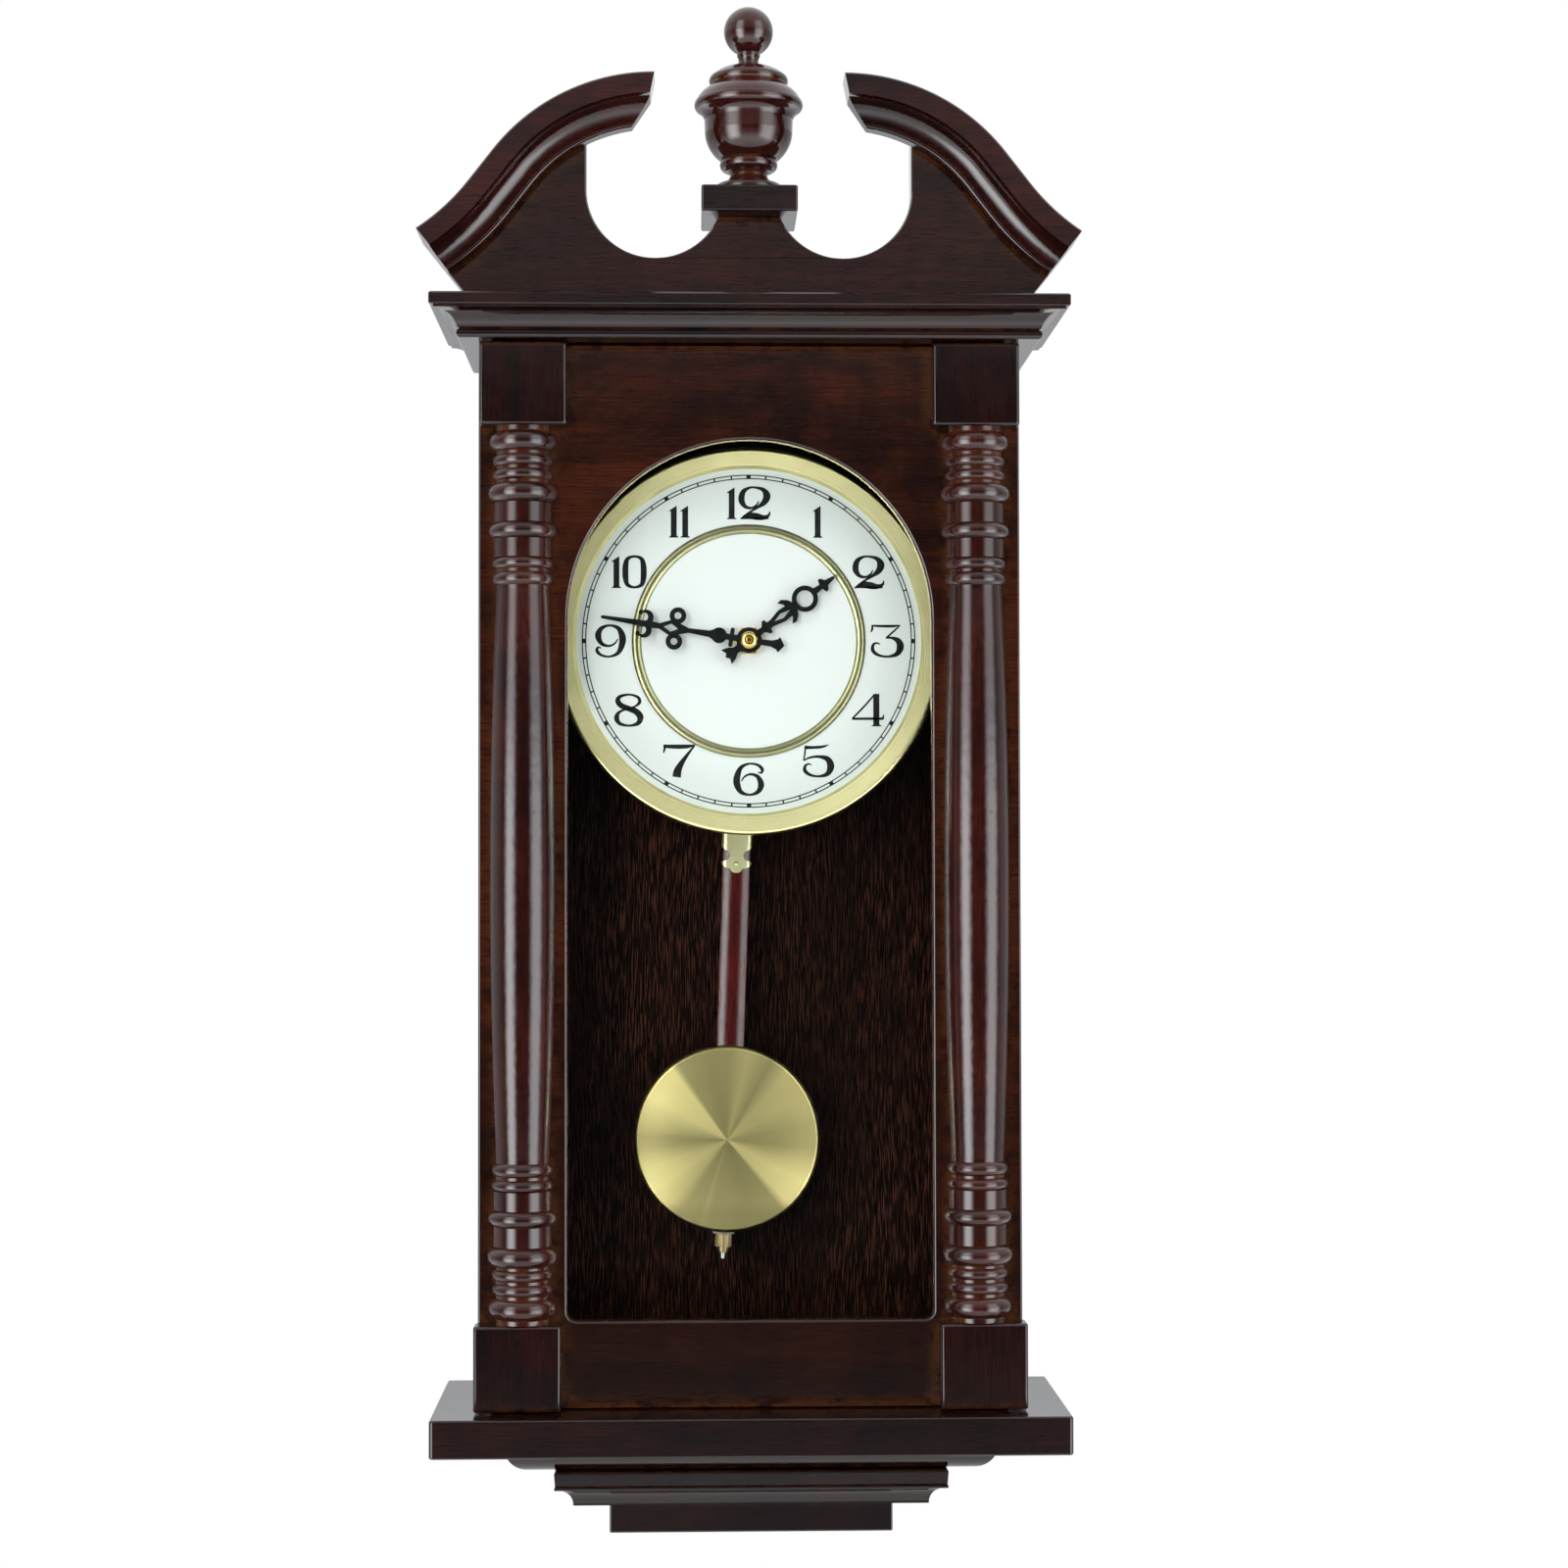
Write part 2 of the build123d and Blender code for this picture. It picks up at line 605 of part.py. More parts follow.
with BuildPart() as door_frame:
    slab((-DOOR_HALF_WIDTH, DOOR_HALF_WIDTH), (DOOR_BACK, DOOR_FRONT), (DOOR_BOTTOM, DOOR_TOP))
    opening_solid(0, (DOOR_BACK, DOOR_FRONT + 1), 4.0, mode=Mode.SUBTRACT)
    opening_edge = door_frame.faces().sort_by(Axis.Y)[0].inner_wires()[0].edges()
    fillet(opening_edge, 1.6)
    soften_edges = door_frame.edges().filter_by(Axis.Z).group_by(Axis.Y)[0]
    fillet(soften_edges.sort_by(Axis.X)[0], 1.0)
    fillet(door_frame.edges().filter_by(Axis.Z).group_by(Axis.Y)[0].sort_by(Axis.X)[-1], 1.0)
    opening_solid(REBATE, (DOOR_BACK, REBATE_FRONT), 6.0, mode=Mode.SUBTRACT)
    for height in HINGE_HEIGHTS:
        reach = HINGE_HALF_LENGTH + KNUCKLE_GAP
        slab(
            (DOOR_LEAF_EDGE, DOOR_HALF_WIDTH),
            (DOOR_BACK, DOOR_BACK + HINGE_GAUGE),
            (height - reach, height + reach),
            mode=Mode.SUBTRACT,
        )
    for head in door_screw_heads():
        screw(head, (0, -1, 0), mode=Mode.SUBTRACT)


def corner_block(x_limits, height_limits):
    """Corner block glued on the face of the door, with softened front edges."""
    slab(x_limits, (DOOR_FRONT, BLOCK_FRONT), height_limits)


TOP_BLOCK_X = (84.0, 124.0)
BOTTOM_BLOCK_X = (86.5, 126.3)
BLOCK_ROUND = 1.8

with BuildPart() as block_top_left:
    corner_block((-TOP_BLOCK_X[1], -TOP_BLOCK_X[0]), (COLUMN_TOP, DOOR_TOP))
    soften(block_top_left, Axis.Y, -BLOCK_FRONT, BLOCK_ROUND)

with BuildPart() as block_top_right:
    corner_block(TOP_BLOCK_X, (COLUMN_TOP, DOOR_TOP))
    soften(block_top_right, Axis.Y, -BLOCK_FRONT, BLOCK_ROUND)

with BuildPart() as block_bottom_left:
    corner_block((-BOTTOM_BLOCK_X[1], -BOTTOM_BLOCK_X[0]), (DOOR_BOTTOM, COLUMN_BOTTOM))
    soften(block_bottom_left, Axis.Y, -BLOCK_FRONT, BLOCK_ROUND)

with BuildPart() as block_bottom_right:
    corner_block(BOTTOM_BLOCK_X, (DOOR_BOTTOM, COLUMN_BOTTOM))
    soften(block_bottom_right, Axis.Y, -BLOCK_FRONT, BLOCK_ROUND)

# Turned rings of the columns, as (start, end, radius) measured from the end of the column.
COLUMN_ROOT = 12.3
COLUMN_NECK = 13.4
COLUMN_BELLY = 15.2
RINGS = (
    (2.0, 11.6, 15.6),      # dome next to the block
    (12.9, 18.3, 14.0),     # pair of beads
    (19.6, 24.8, 14.0),
    (25.8, 35.2, 16.2),     # large torus
    (44.2, 51.8, 15.9),     # smaller torus, between two necks
    (60.3, 65.7, 14.2),     # pair of beads next to the shaft
    (67.0, 73.2, 14.1),
)
NECKS = ((35.2, 44.2), (51.8, 60.3))
SHAFT_START = 75.0


def ring_solid(start, end, radius, flip):
    """One turned ring of a column; flip measures it from the top instead of the bottom."""
    low = COLUMN_TOP - end if flip else COLUMN_BOTTOM + start
    high = COLUMN_TOP - start if flip else COLUMN_BOTTOM + end
    with BuildSketch(facing(DOOR_FRONT)) as ring:
        with BuildLine():
            ThreePointArc((COLUMN_ROOT, low), (radius, (low + high) / 2), (COLUMN_ROOT, high))
            Polyline((COLUMN_ROOT, high), (0, high), (0, low), (COLUMN_ROOT, low))
        make_face()
    revolve(ring.sketch, axis=Axis((0, -DOOR_FRONT, 0), (0, 0, 1)))


def column():
    """Half-round column on the face of the door, built on the middle line of the clock."""
    with BuildSketch(facing(DOOR_FRONT)) as shaft:
        with BuildLine():
            low = COLUMN_BOTTOM + SHAFT_START
            high = COLUMN_TOP - SHAFT_START
            Polyline((0, COLUMN_BOTTOM), (COLUMN_ROOT, COLUMN_BOTTOM), (COLUMN_ROOT, low))
            ThreePointArc((COLUMN_ROOT, low), (COLUMN_BELLY, (low + high) / 2), (COLUMN_ROOT, high))
            Polyline((COLUMN_ROOT, high), (COLUMN_ROOT, COLUMN_TOP), (0, COLUMN_TOP), (0, COLUMN_BOTTOM))
        make_face()
    revolve(shaft.sketch, axis=Axis((0, -DOOR_FRONT, 0), (0, 0, 1)))
    for flip in (False, True):
        for start, end, radius in RINGS:
            ring_solid(start, end, radius, flip)
        for start, end in NECKS:
            low = COLUMN_TOP - end if flip else COLUMN_BOTTOM + start
            with BuildSketch(plan(low)) as neck:
                with Locations((0, -DOOR_FRONT)):
                    Circle(COLUMN_NECK)
            extrude(neck.sketch, amount=end - start)
    split(bisect_by=Plane.XZ.offset(DOOR_FRONT), keep=Keep.TOP)


with BuildPart(mode=Mode.PRIVATE) as column_master:
    column()

with BuildPart() as column_left:
    add(column_master.part.moved(Location((-COLUMN_X, 0, 0))))

with BuildPart() as column_right:
    add(column_master.part.moved(Location((COLUMN_X, 0, 0))))

with BuildPart() as door_glass:
    opening_solid(REBATE - 0.4, (GLASS_BACK, REBATE_FRONT), 5.6)

with BuildPart() as glass_retainer:
    opening_solid(REBATE, (GLASS_BACK - 2.5, GLASS_BACK), 6.0)
    opening_solid(1.2, (GLASS_BACK - 3, GLASS_BACK + 1), 4.0, mode=Mode.SUBTRACT)


# ---------------------------------------------------------------- hinges, catch and hanger

def knuckle(height_limits, mode=Mode.ADD):
    """Barrel section of a hinge with the pin's bore through it."""
    with BuildSketch(plan(height_limits[0])) as ring:
        with Locations((HINGE_X, -HINGE_DEPTH)):
            Circle(KNUCKLE_RADIUS)
    extrude(ring.sketch, amount=height_limits[1] - height_limits[0], mode=mode)


def pin_bore(height):
    with BuildSketch(plan(height - HINGE_HALF_LENGTH - 1)) as bore:
        with Locations((HINGE_X, -HINGE_DEPTH)):
            Circle(PIN_RADIUS + RUNNING)
    extrude(bore.sketch, amount=2 * HINGE_HALF_LENGTH + 2, mode=Mode.SUBTRACT)


with BuildPart() as hinge_case_leaves:
    for height in HINGE_HEIGHTS:
        slab(
            (CASE_HALF_WIDTH, CASE_HALF_WIDTH + HINGE_GAUGE),
            (CASE_LEAF_BACK, HINGE_DEPTH - KNUCKLE_RADIUS - 0.4),
            (height - HINGE_HALF_LENGTH, height + HINGE_HALF_LENGTH),
        )
        for low, high in (
            (height - HINGE_HALF_LENGTH, height - KNUCKLE_HALF_LENGTH - KNUCKLE_GAP),
            (height + KNUCKLE_HALF_LENGTH + KNUCKLE_GAP, height + HINGE_HALF_LENGTH),
        ):
            slab(
                (CASE_HALF_WIDTH, CASE_HALF_WIDTH + HINGE_GAUGE),
                (HINGE_DEPTH - KNUCKLE_RADIUS - 1, HINGE_DEPTH),
                (low, high),
            )
            knuckle((low, high))
        pin_bore(height)
    for head in case_leaf_screw_heads():
        screw(head, (-1, 0, 0), mode=Mode.SUBTRACT)

with BuildPart() as hinge_door_leaves:
    for height in HINGE_HEIGHTS:
        slab(
            (DOOR_LEAF_EDGE, CASE_HALF_WIDTH),
            (DOOR_BACK, DOOR_BACK + HINGE_GAUGE),
            (height - HINGE_HALF_LENGTH, height + HINGE_HALF_LENGTH),
        )
        low = height - KNUCKLE_HALF_LENGTH
        high = height + KNUCKLE_HALF_LENGTH
        slab((CASE_HALF_WIDTH - 1, 123.8), (DOOR_BACK, DOOR_BACK + HINGE_GAUGE), (low, high))
        slab((121.6, 123.8), (69.0, DOOR_BACK + HINGE_GAUGE), (low, high))
        knuckle((low, high))
        pin_bore(height)
    for head in door_screw_heads()[:4]:
        screw(head, (0, -1, 0), mode=Mode.SUBTRACT)

with BuildPart() as hinge_pins:
    for height in HINGE_HEIGHTS:
        with BuildSketch(plan(height - HINGE_HALF_LENGTH - 0.6)):
            with Locations((HINGE_X, -HINGE_DEPTH)):
                Circle(PIN_RADIUS)
        extrude(amount=2 * HINGE_HALF_LENGTH + 1.2)
        for tip in (height - HINGE_HALF_LENGTH - 0.9, height + HINGE_HALF_LENGTH):
            with BuildSketch(plan(tip)):
                with Locations((HINGE_X, -HINGE_DEPTH)):
                    Circle(1.7)
            extrude(amount=0.9)

with BuildPart() as case_screws:
    for head in hanger_screw_heads():
        screw(head, (0, -1, 0))
    for head in case_leaf_screw_heads():
        screw(head, (-1, 0, 0))

with BuildPart() as door_screws:
    for head in door_screw_heads():
        screw(head, (0, -1, 0))

with BuildPart() as catch_magnet:
    slab(
        (-INNER_HALF_WIDTH, -INNER_HALF_WIDTH + 10),
        (60.0, DOOR_BACK - 0.1),
        (CATCH_HEIGHT - 16, CATCH_HEIGHT + 16),
    )
    fillet(catch_magnet.edges().filter_by(Axis.X), 1.5)
    slab(
        (CATCH_X - 3, CATCH_X + 3),
        (DOOR_BACK - 1.0, DOOR_BACK),
        (CATCH_HEIGHT - 7, CATCH_HEIGHT + 7),
        mode=Mode.SUBTRACT,
    )
    slab(
        (CATCH_X - 2.6, CATCH_X + 2.6),
        (DOOR_BACK - 1.2, DOOR_BACK - 0.1),
        (CATCH_HEIGHT - 6.6, CATCH_HEIGHT + 6.6),
    )

with BuildPart() as hanger_plate:
    slab((-PLATE_HALF_WIDTH, PLATE_HALF_WIDTH), (0, PLATE_GAUGE), (PLATE_BOTTOM, PLATE_TOP))
    fillet(hanger_plate.edges().filter_by(Axis.Y), 0.8)
    with BuildSketch(facing(-1)):
        with Locations((0, HANGING_HEIGHT)):
            Circle(KEYHOLE_RADIUS)
        with Locations((0, HANGING_HEIGHT + KEYHOLE_RISE / 2)):
            SlotCenterToCenter(KEYHOLE_RISE, 2 * KEYHOLE_SLOT_RADIUS, rotation=90)
    extrude(amount=PLATE_GAUGE + 2, mode=Mode.SUBTRACT)
    for head in hanger_screw_heads():
        screw(head, (0, -1, 0), mode=Mode.SUBTRACT)


# ---------------------------------------------------------------- dial and hands

BUSHING_RADIUS = 4.5
DIAL_BOARD_RADIUS = 88.8
DIAL_PLATE_RADIUS = 88.4
HOUR_PIPE_RADIUS = 2.5


def lathe_section(centre_x=0.0, centre_height=DIAL_HEIGHT):
    """Plane for turning a piece about an axis square to the wall: X is radius, Y is depth."""
    return Plane(
        origin=(centre_x, 0, level(centre_height)), x_dir=(1, 0, 0), z_dir=(0, 0, -1)
    )


DIAL_AXIS = Axis((0, 0, level(DIAL_HEIGHT)), (0, -1, 0))

with BuildPart() as dial_board:
    with BuildSketch(dial_plane(DIAL_BOARD_BACK)):
        Circle(DIAL_BOARD_RADIUS)
        Rectangle(2 * WING_TIP, 2 * WING_HALF_HEIGHT)
        Circle(BUSHING_RADIUS + 0.1, mode=Mode.SUBTRACT)
    extrude(amount=DIAL_PLATE_BACK - DIAL_BOARD_BACK)

with BuildPart() as dial_plate:
    with BuildSketch(dial_plane(DIAL_PLATE_BACK)):
        Circle(DIAL_PLATE_RADIUS)
        Circle(BUSHING_RADIUS + 0.1, mode=Mode.SUBTRACT)
    extrude(amount=DIAL_FRONT - DIAL_PLATE_BACK)

with BuildPart() as dial_bezel:
    with BuildSketch(lathe_section()):
        with BuildLine():
            Polyline(
                (DIAL_SIGHT_RADIUS, DIAL_FRONT),
                (DIAL_SIGHT_RADIUS, 60.5),
                (82.4, 62.2),
                (BEZEL_RADIUS - 2.6, 63.2),
            )
            ThreePointArc(
                (BEZEL_RADIUS - 2.6, 63.2), (BEZEL_RADIUS - 0.6, 62.7), (BEZEL_RADIUS, 61.2)
            )
            Polyline(
                (BEZEL_RADIUS, 61.2),
                (BEZEL_RADIUS, 59.4),
                (BEZEL_RADIUS - 0.8, 59.4),
                (BEZEL_RADIUS - 0.8, DIAL_FRONT),
                (DIAL_SIGHT_RADIUS, DIAL_FRONT),
            )
        make_face()
    revolve(axis=DIAL_AXIS)

with BuildPart() as dial_ring:
    with BuildSketch(lathe_section()):
        with BuildLine():
            middle = (DIAL_RING_INNER + DIAL_RING_OUTER) / 2
            Line((DIAL_RING_INNER, DIAL_FRONT), (DIAL_RING_INNER, DIAL_FRONT + 0.4))
            ThreePointArc(
                (DIAL_RING_INNER, DIAL_FRONT + 0.4),
                (middle, DIAL_FRONT + 1.5),
                (DIAL_RING_OUTER, DIAL_FRONT + 0.4),
            )
            Line((DIAL_RING_OUTER, DIAL_FRONT + 0.4), (DIAL_RING_OUTER, DIAL_FRONT))
            Line((DIAL_RING_OUTER, DIAL_FRONT), (DIAL_RING_INNER, DIAL_FRONT))
        make_face()
    revolve(axis=DIAL_AXIS)

with BuildPart() as dial_nut:
    with BuildSketch(dial_plane(DIAL_FRONT)):
        RegularPolygon(7.0, 6)
        Circle(BUSHING_RADIUS, mode=Mode.SUBTRACT)
    extrude(amount=2.4)
    chamfer(dial_nut.faces().sort_by(Axis.Y)[0].outer_wire().edges(), 0.4)


def disc(x, y, radius):
    with Locations((x, y)):
        Circle(radius)


def hole(x, y, radius):
    with Locations((x, y)):
        Circle(radius, mode=Mode.SUBTRACT)


def mirrored_shape(points, mode=Mode.ADD):
    """Closed outline given by its upper half, from one point on the X axis to another."""
    lower = [(x, -y) for x, y in reversed(points[1:-1])]
    with BuildLine() as outline:
        Polyline(*points, *lower, close=True)
    make_face(outline.edges(), mode=mode)


def crescent(x, y, radius, hollow, shift):
    """Crescent open towards the hand's point: a disc with a smaller hole beside its middle."""
    disc(x, y, radius)
    hole(x + shift, y, hollow)


def thorn(points):
    """Pointed thorn on both sides of a hand."""
    for side in (1, -1):
        with BuildLine() as outline:
            Polyline(*[(x, side * y) for x, y in points], close=True)
        make_face(outline.edges())


with BuildPart() as minute_hand:
    with BuildSketch(dial_plane(MINUTE_HAND_DEPTH, MINUTE_HAND_ANGLE)):
        # crescents curling back towards the point
        for side in (1, -1):
            crescent(49.2, side * 3.0, 3.6, 2.2, 1.3)
            disc(51.9, side * 5.0, 1.1)
        # two eyes on a lozenge with a diamond between them
        for side in (1, -1):
            disc(34.6, side * 6.1, 3.9)
            hole(34.6, side * 6.1, 1.6)
        # neck, lozenge and long point
        mirrored_shape(
            ((3, 0), (5, 1.5), (15, 1.4), (20, 1.5), (28.5, 1.1), (31.5, 2.1), (36.8, 3.9),
             (42.4, 1.3), (46.0, 1.6), (69.6, 0.75), (70.3, 0))
        )
        mirrored_shape(((33.6, 0), (37.0, 1.9), (40.4, 0)), mode=Mode.SUBTRACT)
        # hub, tail with a spade end, cross nib and bulb
        disc(0, 0, 6.0)
        mirrored_shape(
            ((-16.8, 0), (-14.2, 3.7), (-13.2, 2.4), (-10.6, 1.5), (-5, 1.3), (-3, 0))
        )
        with Locations((8.3, 0)):
            SlotOverall(9.2, 2.0, rotation=90)
        disc(14.2, 0, 3.7)
        mirrored_shape(((10.8, 0), (12.2, 2.4), (15.8, 2.9), (20.4, 0.9), (21, 0)))
        hole(0, 0, ARBOR_RADIUS)
    extrude(amount=HAND_GAUGE)

with BuildPart() as hour_hand:
    with BuildSketch(dial_plane(HOUR_HAND_DEPTH, HOUR_HAND_ANGLE)):
        # ring, with thorns curling back from the lozenge before it
        thorn(((27.6, 1.0), (25.8, 4.4), (23.4, 6.3), (21.0, 6.0), (22.8, 4.0), (23.6, 1.8)))
        disc(32.8, 0, 6.2)
        hole(32.8, 0, 3.9)
        # neck, cross nib and lozenge
        mirrored_shape(
            ((3, 0), (4.6, 1.7), (8.4, 1.4), (10.2, 3.6), (11.4, 3.4), (11.8, 1.7),
             (13.6, 1.7), (19.4, 3.1), (25.0, 2.7), (27.6, 1.6), (28.0, 0))
        )
        mirrored_shape(((15.0, 0), (19.3, 1.25), (24.2, 0)), mode=Mode.SUBTRACT)
        # pointed tip with a cross nib
        mirrored_shape(
            ((38.2, 0), (38.5, 1.6), (42.2, 1.2), (42.9, 3.5), (44.3, 3.2), (45.5, 1.4),
             (49.7, 0.7), (50.2, 0))
        )
        # hub and three-pointed tail
        disc(0, 0, 5.4)
        mirrored_shape(
            ((-13.6, 0), (-12.2, 1.5), (-13.2, 4.2), (-10.0, 3.2), (-7.8, 1.7), (-3, 1.7), (-2, 0))
        )
        hole(0, 0, HOUR_PIPE_RADIUS)
    extrude(amount=HAND_GAUGE)

CAP_FRONT = 69.2
ARBOR_TIP = 68.2

with BuildPart() as hand_nut:
    with BuildSketch(lathe_section()):
        with BuildLine():
            nut_back = MINUTE_HAND_DEPTH + HAND_GAUGE
            Polyline(
                (ARBOR_RADIUS, nut_back),
                (4.1, nut_back),
                (4.1, nut_back + 1.4),
            )
            ThreePointArc((4.1, nut_back + 1.4), (3.5, 68.5), (2.1, CAP_FRONT))
            Polyline(
                (2.1, CAP_FRONT),
                (1.5, CAP_FRONT),
                (1.1, CAP_FRONT - 0.6),
                (0, CAP_FRONT - 0.6),
                (0, ARBOR_TIP),
                (ARBOR_RADIUS, ARBOR_TIP),
                (ARBOR_RADIUS, nut_back),
            )
        make_face()
    revolve(axis=DIAL_AXIS)


# ---------------------------------------------------------------- gearing of the movement

# Positions are (x, rise) from the middle of the dial; modules and tooth counts set every spacing.
HAND_MODULE = 0.6
HOUR_MODULE = 0.48
TRAIN_MODULE = 0.2
CENTRE_MODULE = 0.25
HAND_PINION_TEETH = 12
MINUTE_WHEEL_TEETH = 36
HOUR_PINION_TEETH = 12
HOUR_WHEEL_TEETH = 48
TRAIN_PINION_TEETH = 8
CENTRE_TEETH = 96
SECOND_TEETH = 100
FIRST_TEETH = 96


def from_point(point, distance, bearing):
    """Point at a distance and a bearing in degrees from another."""
    angle = radians(bearing)
    return (point[0] + distance * cos(angle), point[1] + distance * sin(angle))


ARBOR_AT = (0.0, 0.0)
MINUTE_WHEEL_AT = from_point(ARBOR_AT, HAND_MODULE * (HAND_PINION_TEETH + MINUTE_WHEEL_TEETH) / 2, 160)
SET_KNOB_AT = from_point(MINUTE_WHEEL_AT, HAND_MODULE * (HAND_PINION_TEETH + MINUTE_WHEEL_TEETH) / 2, 110)
SECOND_AT = from_point(ARBOR_AT, CENTRE_MODULE * (CENTRE_TEETH + TRAIN_PINION_TEETH) / 2, 20)
FIRST_AT = from_point(SECOND_AT, TRAIN_MODULE * (SECOND_TEETH + TRAIN_PINION_TEETH) / 2, -40)
ROTOR_AT = from_point(FIRST_AT, TRAIN_MODULE * (FIRST_TEETH + TRAIN_PINION_TEETH) / 2, -60)


def bearing(start, end):
    return atan2(end[1] - start[1], end[0] - start[0])


def meshing_phase(phase, teeth, other_teeth, direction):
    """Angle of a tooth of the second gear that puts a gap where the first gear's tooth points."""
    return direction + pi + (direction - phase) * teeth / other_teeth + pi / other_teeth


def gear(at, teeth, module, phase, depth_limits, bore=0.0):
    """Spur gear with straight-flanked teeth, thinned for backlash."""
    pitch_angle = 2 * pi / teeth
    pitch_radius = module * teeth / 2
    corners = (
        (-0.30, pitch_radius - 1.15 * module),
        (-0.21, pitch_radius),
        (-0.12, pitch_radius + 0.8 * module),
        (0.12, pitch_radius + 0.8 * module),
        (0.21, pitch_radius),
        (0.30, pitch_radius - 1.15 * module),
    )
    points = []
    for tooth in range(teeth):
        for share, radius in corners:
            angle = phase + (tooth + share) * pitch_angle
            points.append((at[0] + radius * cos(angle), at[1] + radius * sin(angle)))
    with BuildSketch(dial_plane(depth_limits[0])) as blank:
        with BuildLine():
            Polyline(*points, close=True)
        make_face()
        if bore:
            with Locations(at):
                Circle(bore, mode=Mode.SUBTRACT)
    extrude(blank.sketch, amount=depth_limits[1] - depth_limits[0])


def boss(at, radius, depth_limits, mode=Mode.ADD):
    """Round boss, arbor or hole square to the wall, placed from the middle of the dial."""
    rod_forward(at[0], DIAL_HEIGHT + at[1], radius, depth_limits, mode=mode)


MINUTE_WHEEL_PHASE = meshing_phase(
    0, HAND_PINION_TEETH, MINUTE_WHEEL_TEETH, bearing(ARBOR_AT, MINUTE_WHEEL_AT)
)
HOUR_WHEEL_PHASE = meshing_phase(
    0, HOUR_PINION_TEETH, HOUR_WHEEL_TEETH, bearing(MINUTE_WHEEL_AT, ARBOR_AT)
)
SET_PINION_PHASE = meshing_phase(
    MINUTE_WHEEL_PHASE, MINUTE_WHEEL_TEETH, HAND_PINION_TEETH, bearing(MINUTE_WHEEL_AT, SET_KNOB_AT)
)
SECOND_PINION_PHASE = meshing_phase(
    0, CENTRE_TEETH, TRAIN_PINION_TEETH, bearing(ARBOR_AT, SECOND_AT)
)
FIRST_PINION_PHASE = meshing_phase(
    0, SECOND_TEETH, TRAIN_PINION_TEETH, bearing(SECOND_AT, FIRST_AT)
)
ROTOR_PINION_PHASE = meshing_phase(
    0, FIRST_TEETH, TRAIN_PINION_TEETH, bearing(FIRST_AT, ROTOR_AT)
)

POST_TIP = MOVEMENT_SEAM        # where the posts of the rear half end
PIVOT_BACK = 38.0
PIVOT_FRONT = 53.2

with BuildPart() as minute_arbor:
    boss(ARBOR_AT, ARBOR_RADIUS, (PIVOT_BACK, ARBOR_TIP))
    gear(ARBOR_AT, HAND_PINION_TEETH, HAND_MODULE, 0, (46.4, 49.4))

with BuildPart() as minute_wheel:
    boss(MINUTE_WHEEL_AT, 0.7, (PIVOT_BACK, PIVOT_FRONT))
    gear(MINUTE_WHEEL_AT, MINUTE_WHEEL_TEETH, HAND_MODULE, MINUTE_WHEEL_PHASE, (47.0, 48.6))
    gear(MINUTE_WHEEL_AT, HOUR_PINION_TEETH, HOUR_MODULE, 0, (48.4, 51.6))

with BuildPart() as hour_wheel:
    hour_bore = ARBOR_RADIUS + RUNNING
    gear(ARBOR_AT, HOUR_WHEEL_TEETH, HOUR_MODULE, HOUR_WHEEL_PHASE, (50.0, 51.4))
    boss(ARBOR_AT, HOUR_PIPE_RADIUS, (51.0, 64.4))
    boss(ARBOR_AT, hour_bore, (49.0, 65.0), mode=Mode.SUBTRACT)

SET_PINION_BACK = 46.8
KNOB_BACK = 18.4
KNOB_FRONT = 23.6
KNOB_RADIUS = 5.2

with BuildPart() as set_knob:
    boss(SET_KNOB_AT, KNOB_RADIUS, (KNOB_BACK, KNOB_FRONT))
    # finger grooves round the knob
    with BuildSketch(dial_plane(KNOB_BACK - 1)):
        with Locations(SET_KNOB_AT):
            with PolarLocations(KNOB_RADIUS + 0.25, 16):
                Circle(0.55)
    extrude(amount=KNOB_FRONT - KNOB_BACK - 1, mode=Mode.SUBTRACT)
    boss(SET_KNOB_AT, 1.5, (KNOB_FRONT - 1, SET_PINION_BACK + 0.5))
    boss(SET_KNOB_AT, 0.7, (SET_PINION_BACK, PIVOT_FRONT))
    gear(SET_KNOB_AT, HAND_PINION_TEETH, HAND_MODULE, SET_PINION_PHASE, (SET_PINION_BACK, 48.8))

with BuildPart() as centre_wheel:
    gear(ARBOR_AT, CENTRE_TEETH, CENTRE_MODULE, 0, (45.0, 45.9))
    boss(ARBOR_AT, 2.5, (43.8, 46.2))
    boss(ARBOR_AT, ARBOR_RADIUS + RUNNING, (43.0, 47.0), mode=Mode.SUBTRACT)

with BuildPart() as second_wheel:
    boss(SECOND_AT, THIN_ARBOR, (PIVOT_BACK, PIVOT_FRONT))
    gear(SECOND_AT, TRAIN_PINION_TEETH, CENTRE_MODULE, SECOND_PINION_PHASE, (44.2, 46.2))
    gear(SECOND_AT, SECOND_TEETH, TRAIN_MODULE, 0, (42.2, 43.0))
    boss(SECOND_AT, 1.0, (41.4, 44.3))

with BuildPart() as first_wheel:
    boss(FIRST_AT, THIN_ARBOR, (PIVOT_BACK, PIVOT_FRONT))
    gear(FIRST_AT, TRAIN_PINION_TEETH, TRAIN_MODULE, FIRST_PINION_PHASE, (41.8, 43.4))
    gear(FIRST_AT, FIRST_TEETH, TRAIN_MODULE, 0, (47.4, 48.2))
    boss(FIRST_AT, 1.0, (46.6, 48.8))

MAGNET_RADIUS = 3.0

with BuildPart() as rotor:
    boss(ROTOR_AT, THIN_ARBOR, (PIVOT_BACK, PIVOT_FRONT))
    boss(ROTOR_AT, MAGNET_RADIUS, (42.0, 46.2))
    gear(ROTOR_AT, TRAIN_PINION_TEETH, TRAIN_MODULE, ROTOR_PINION_PHASE, (46.2, 48.8))

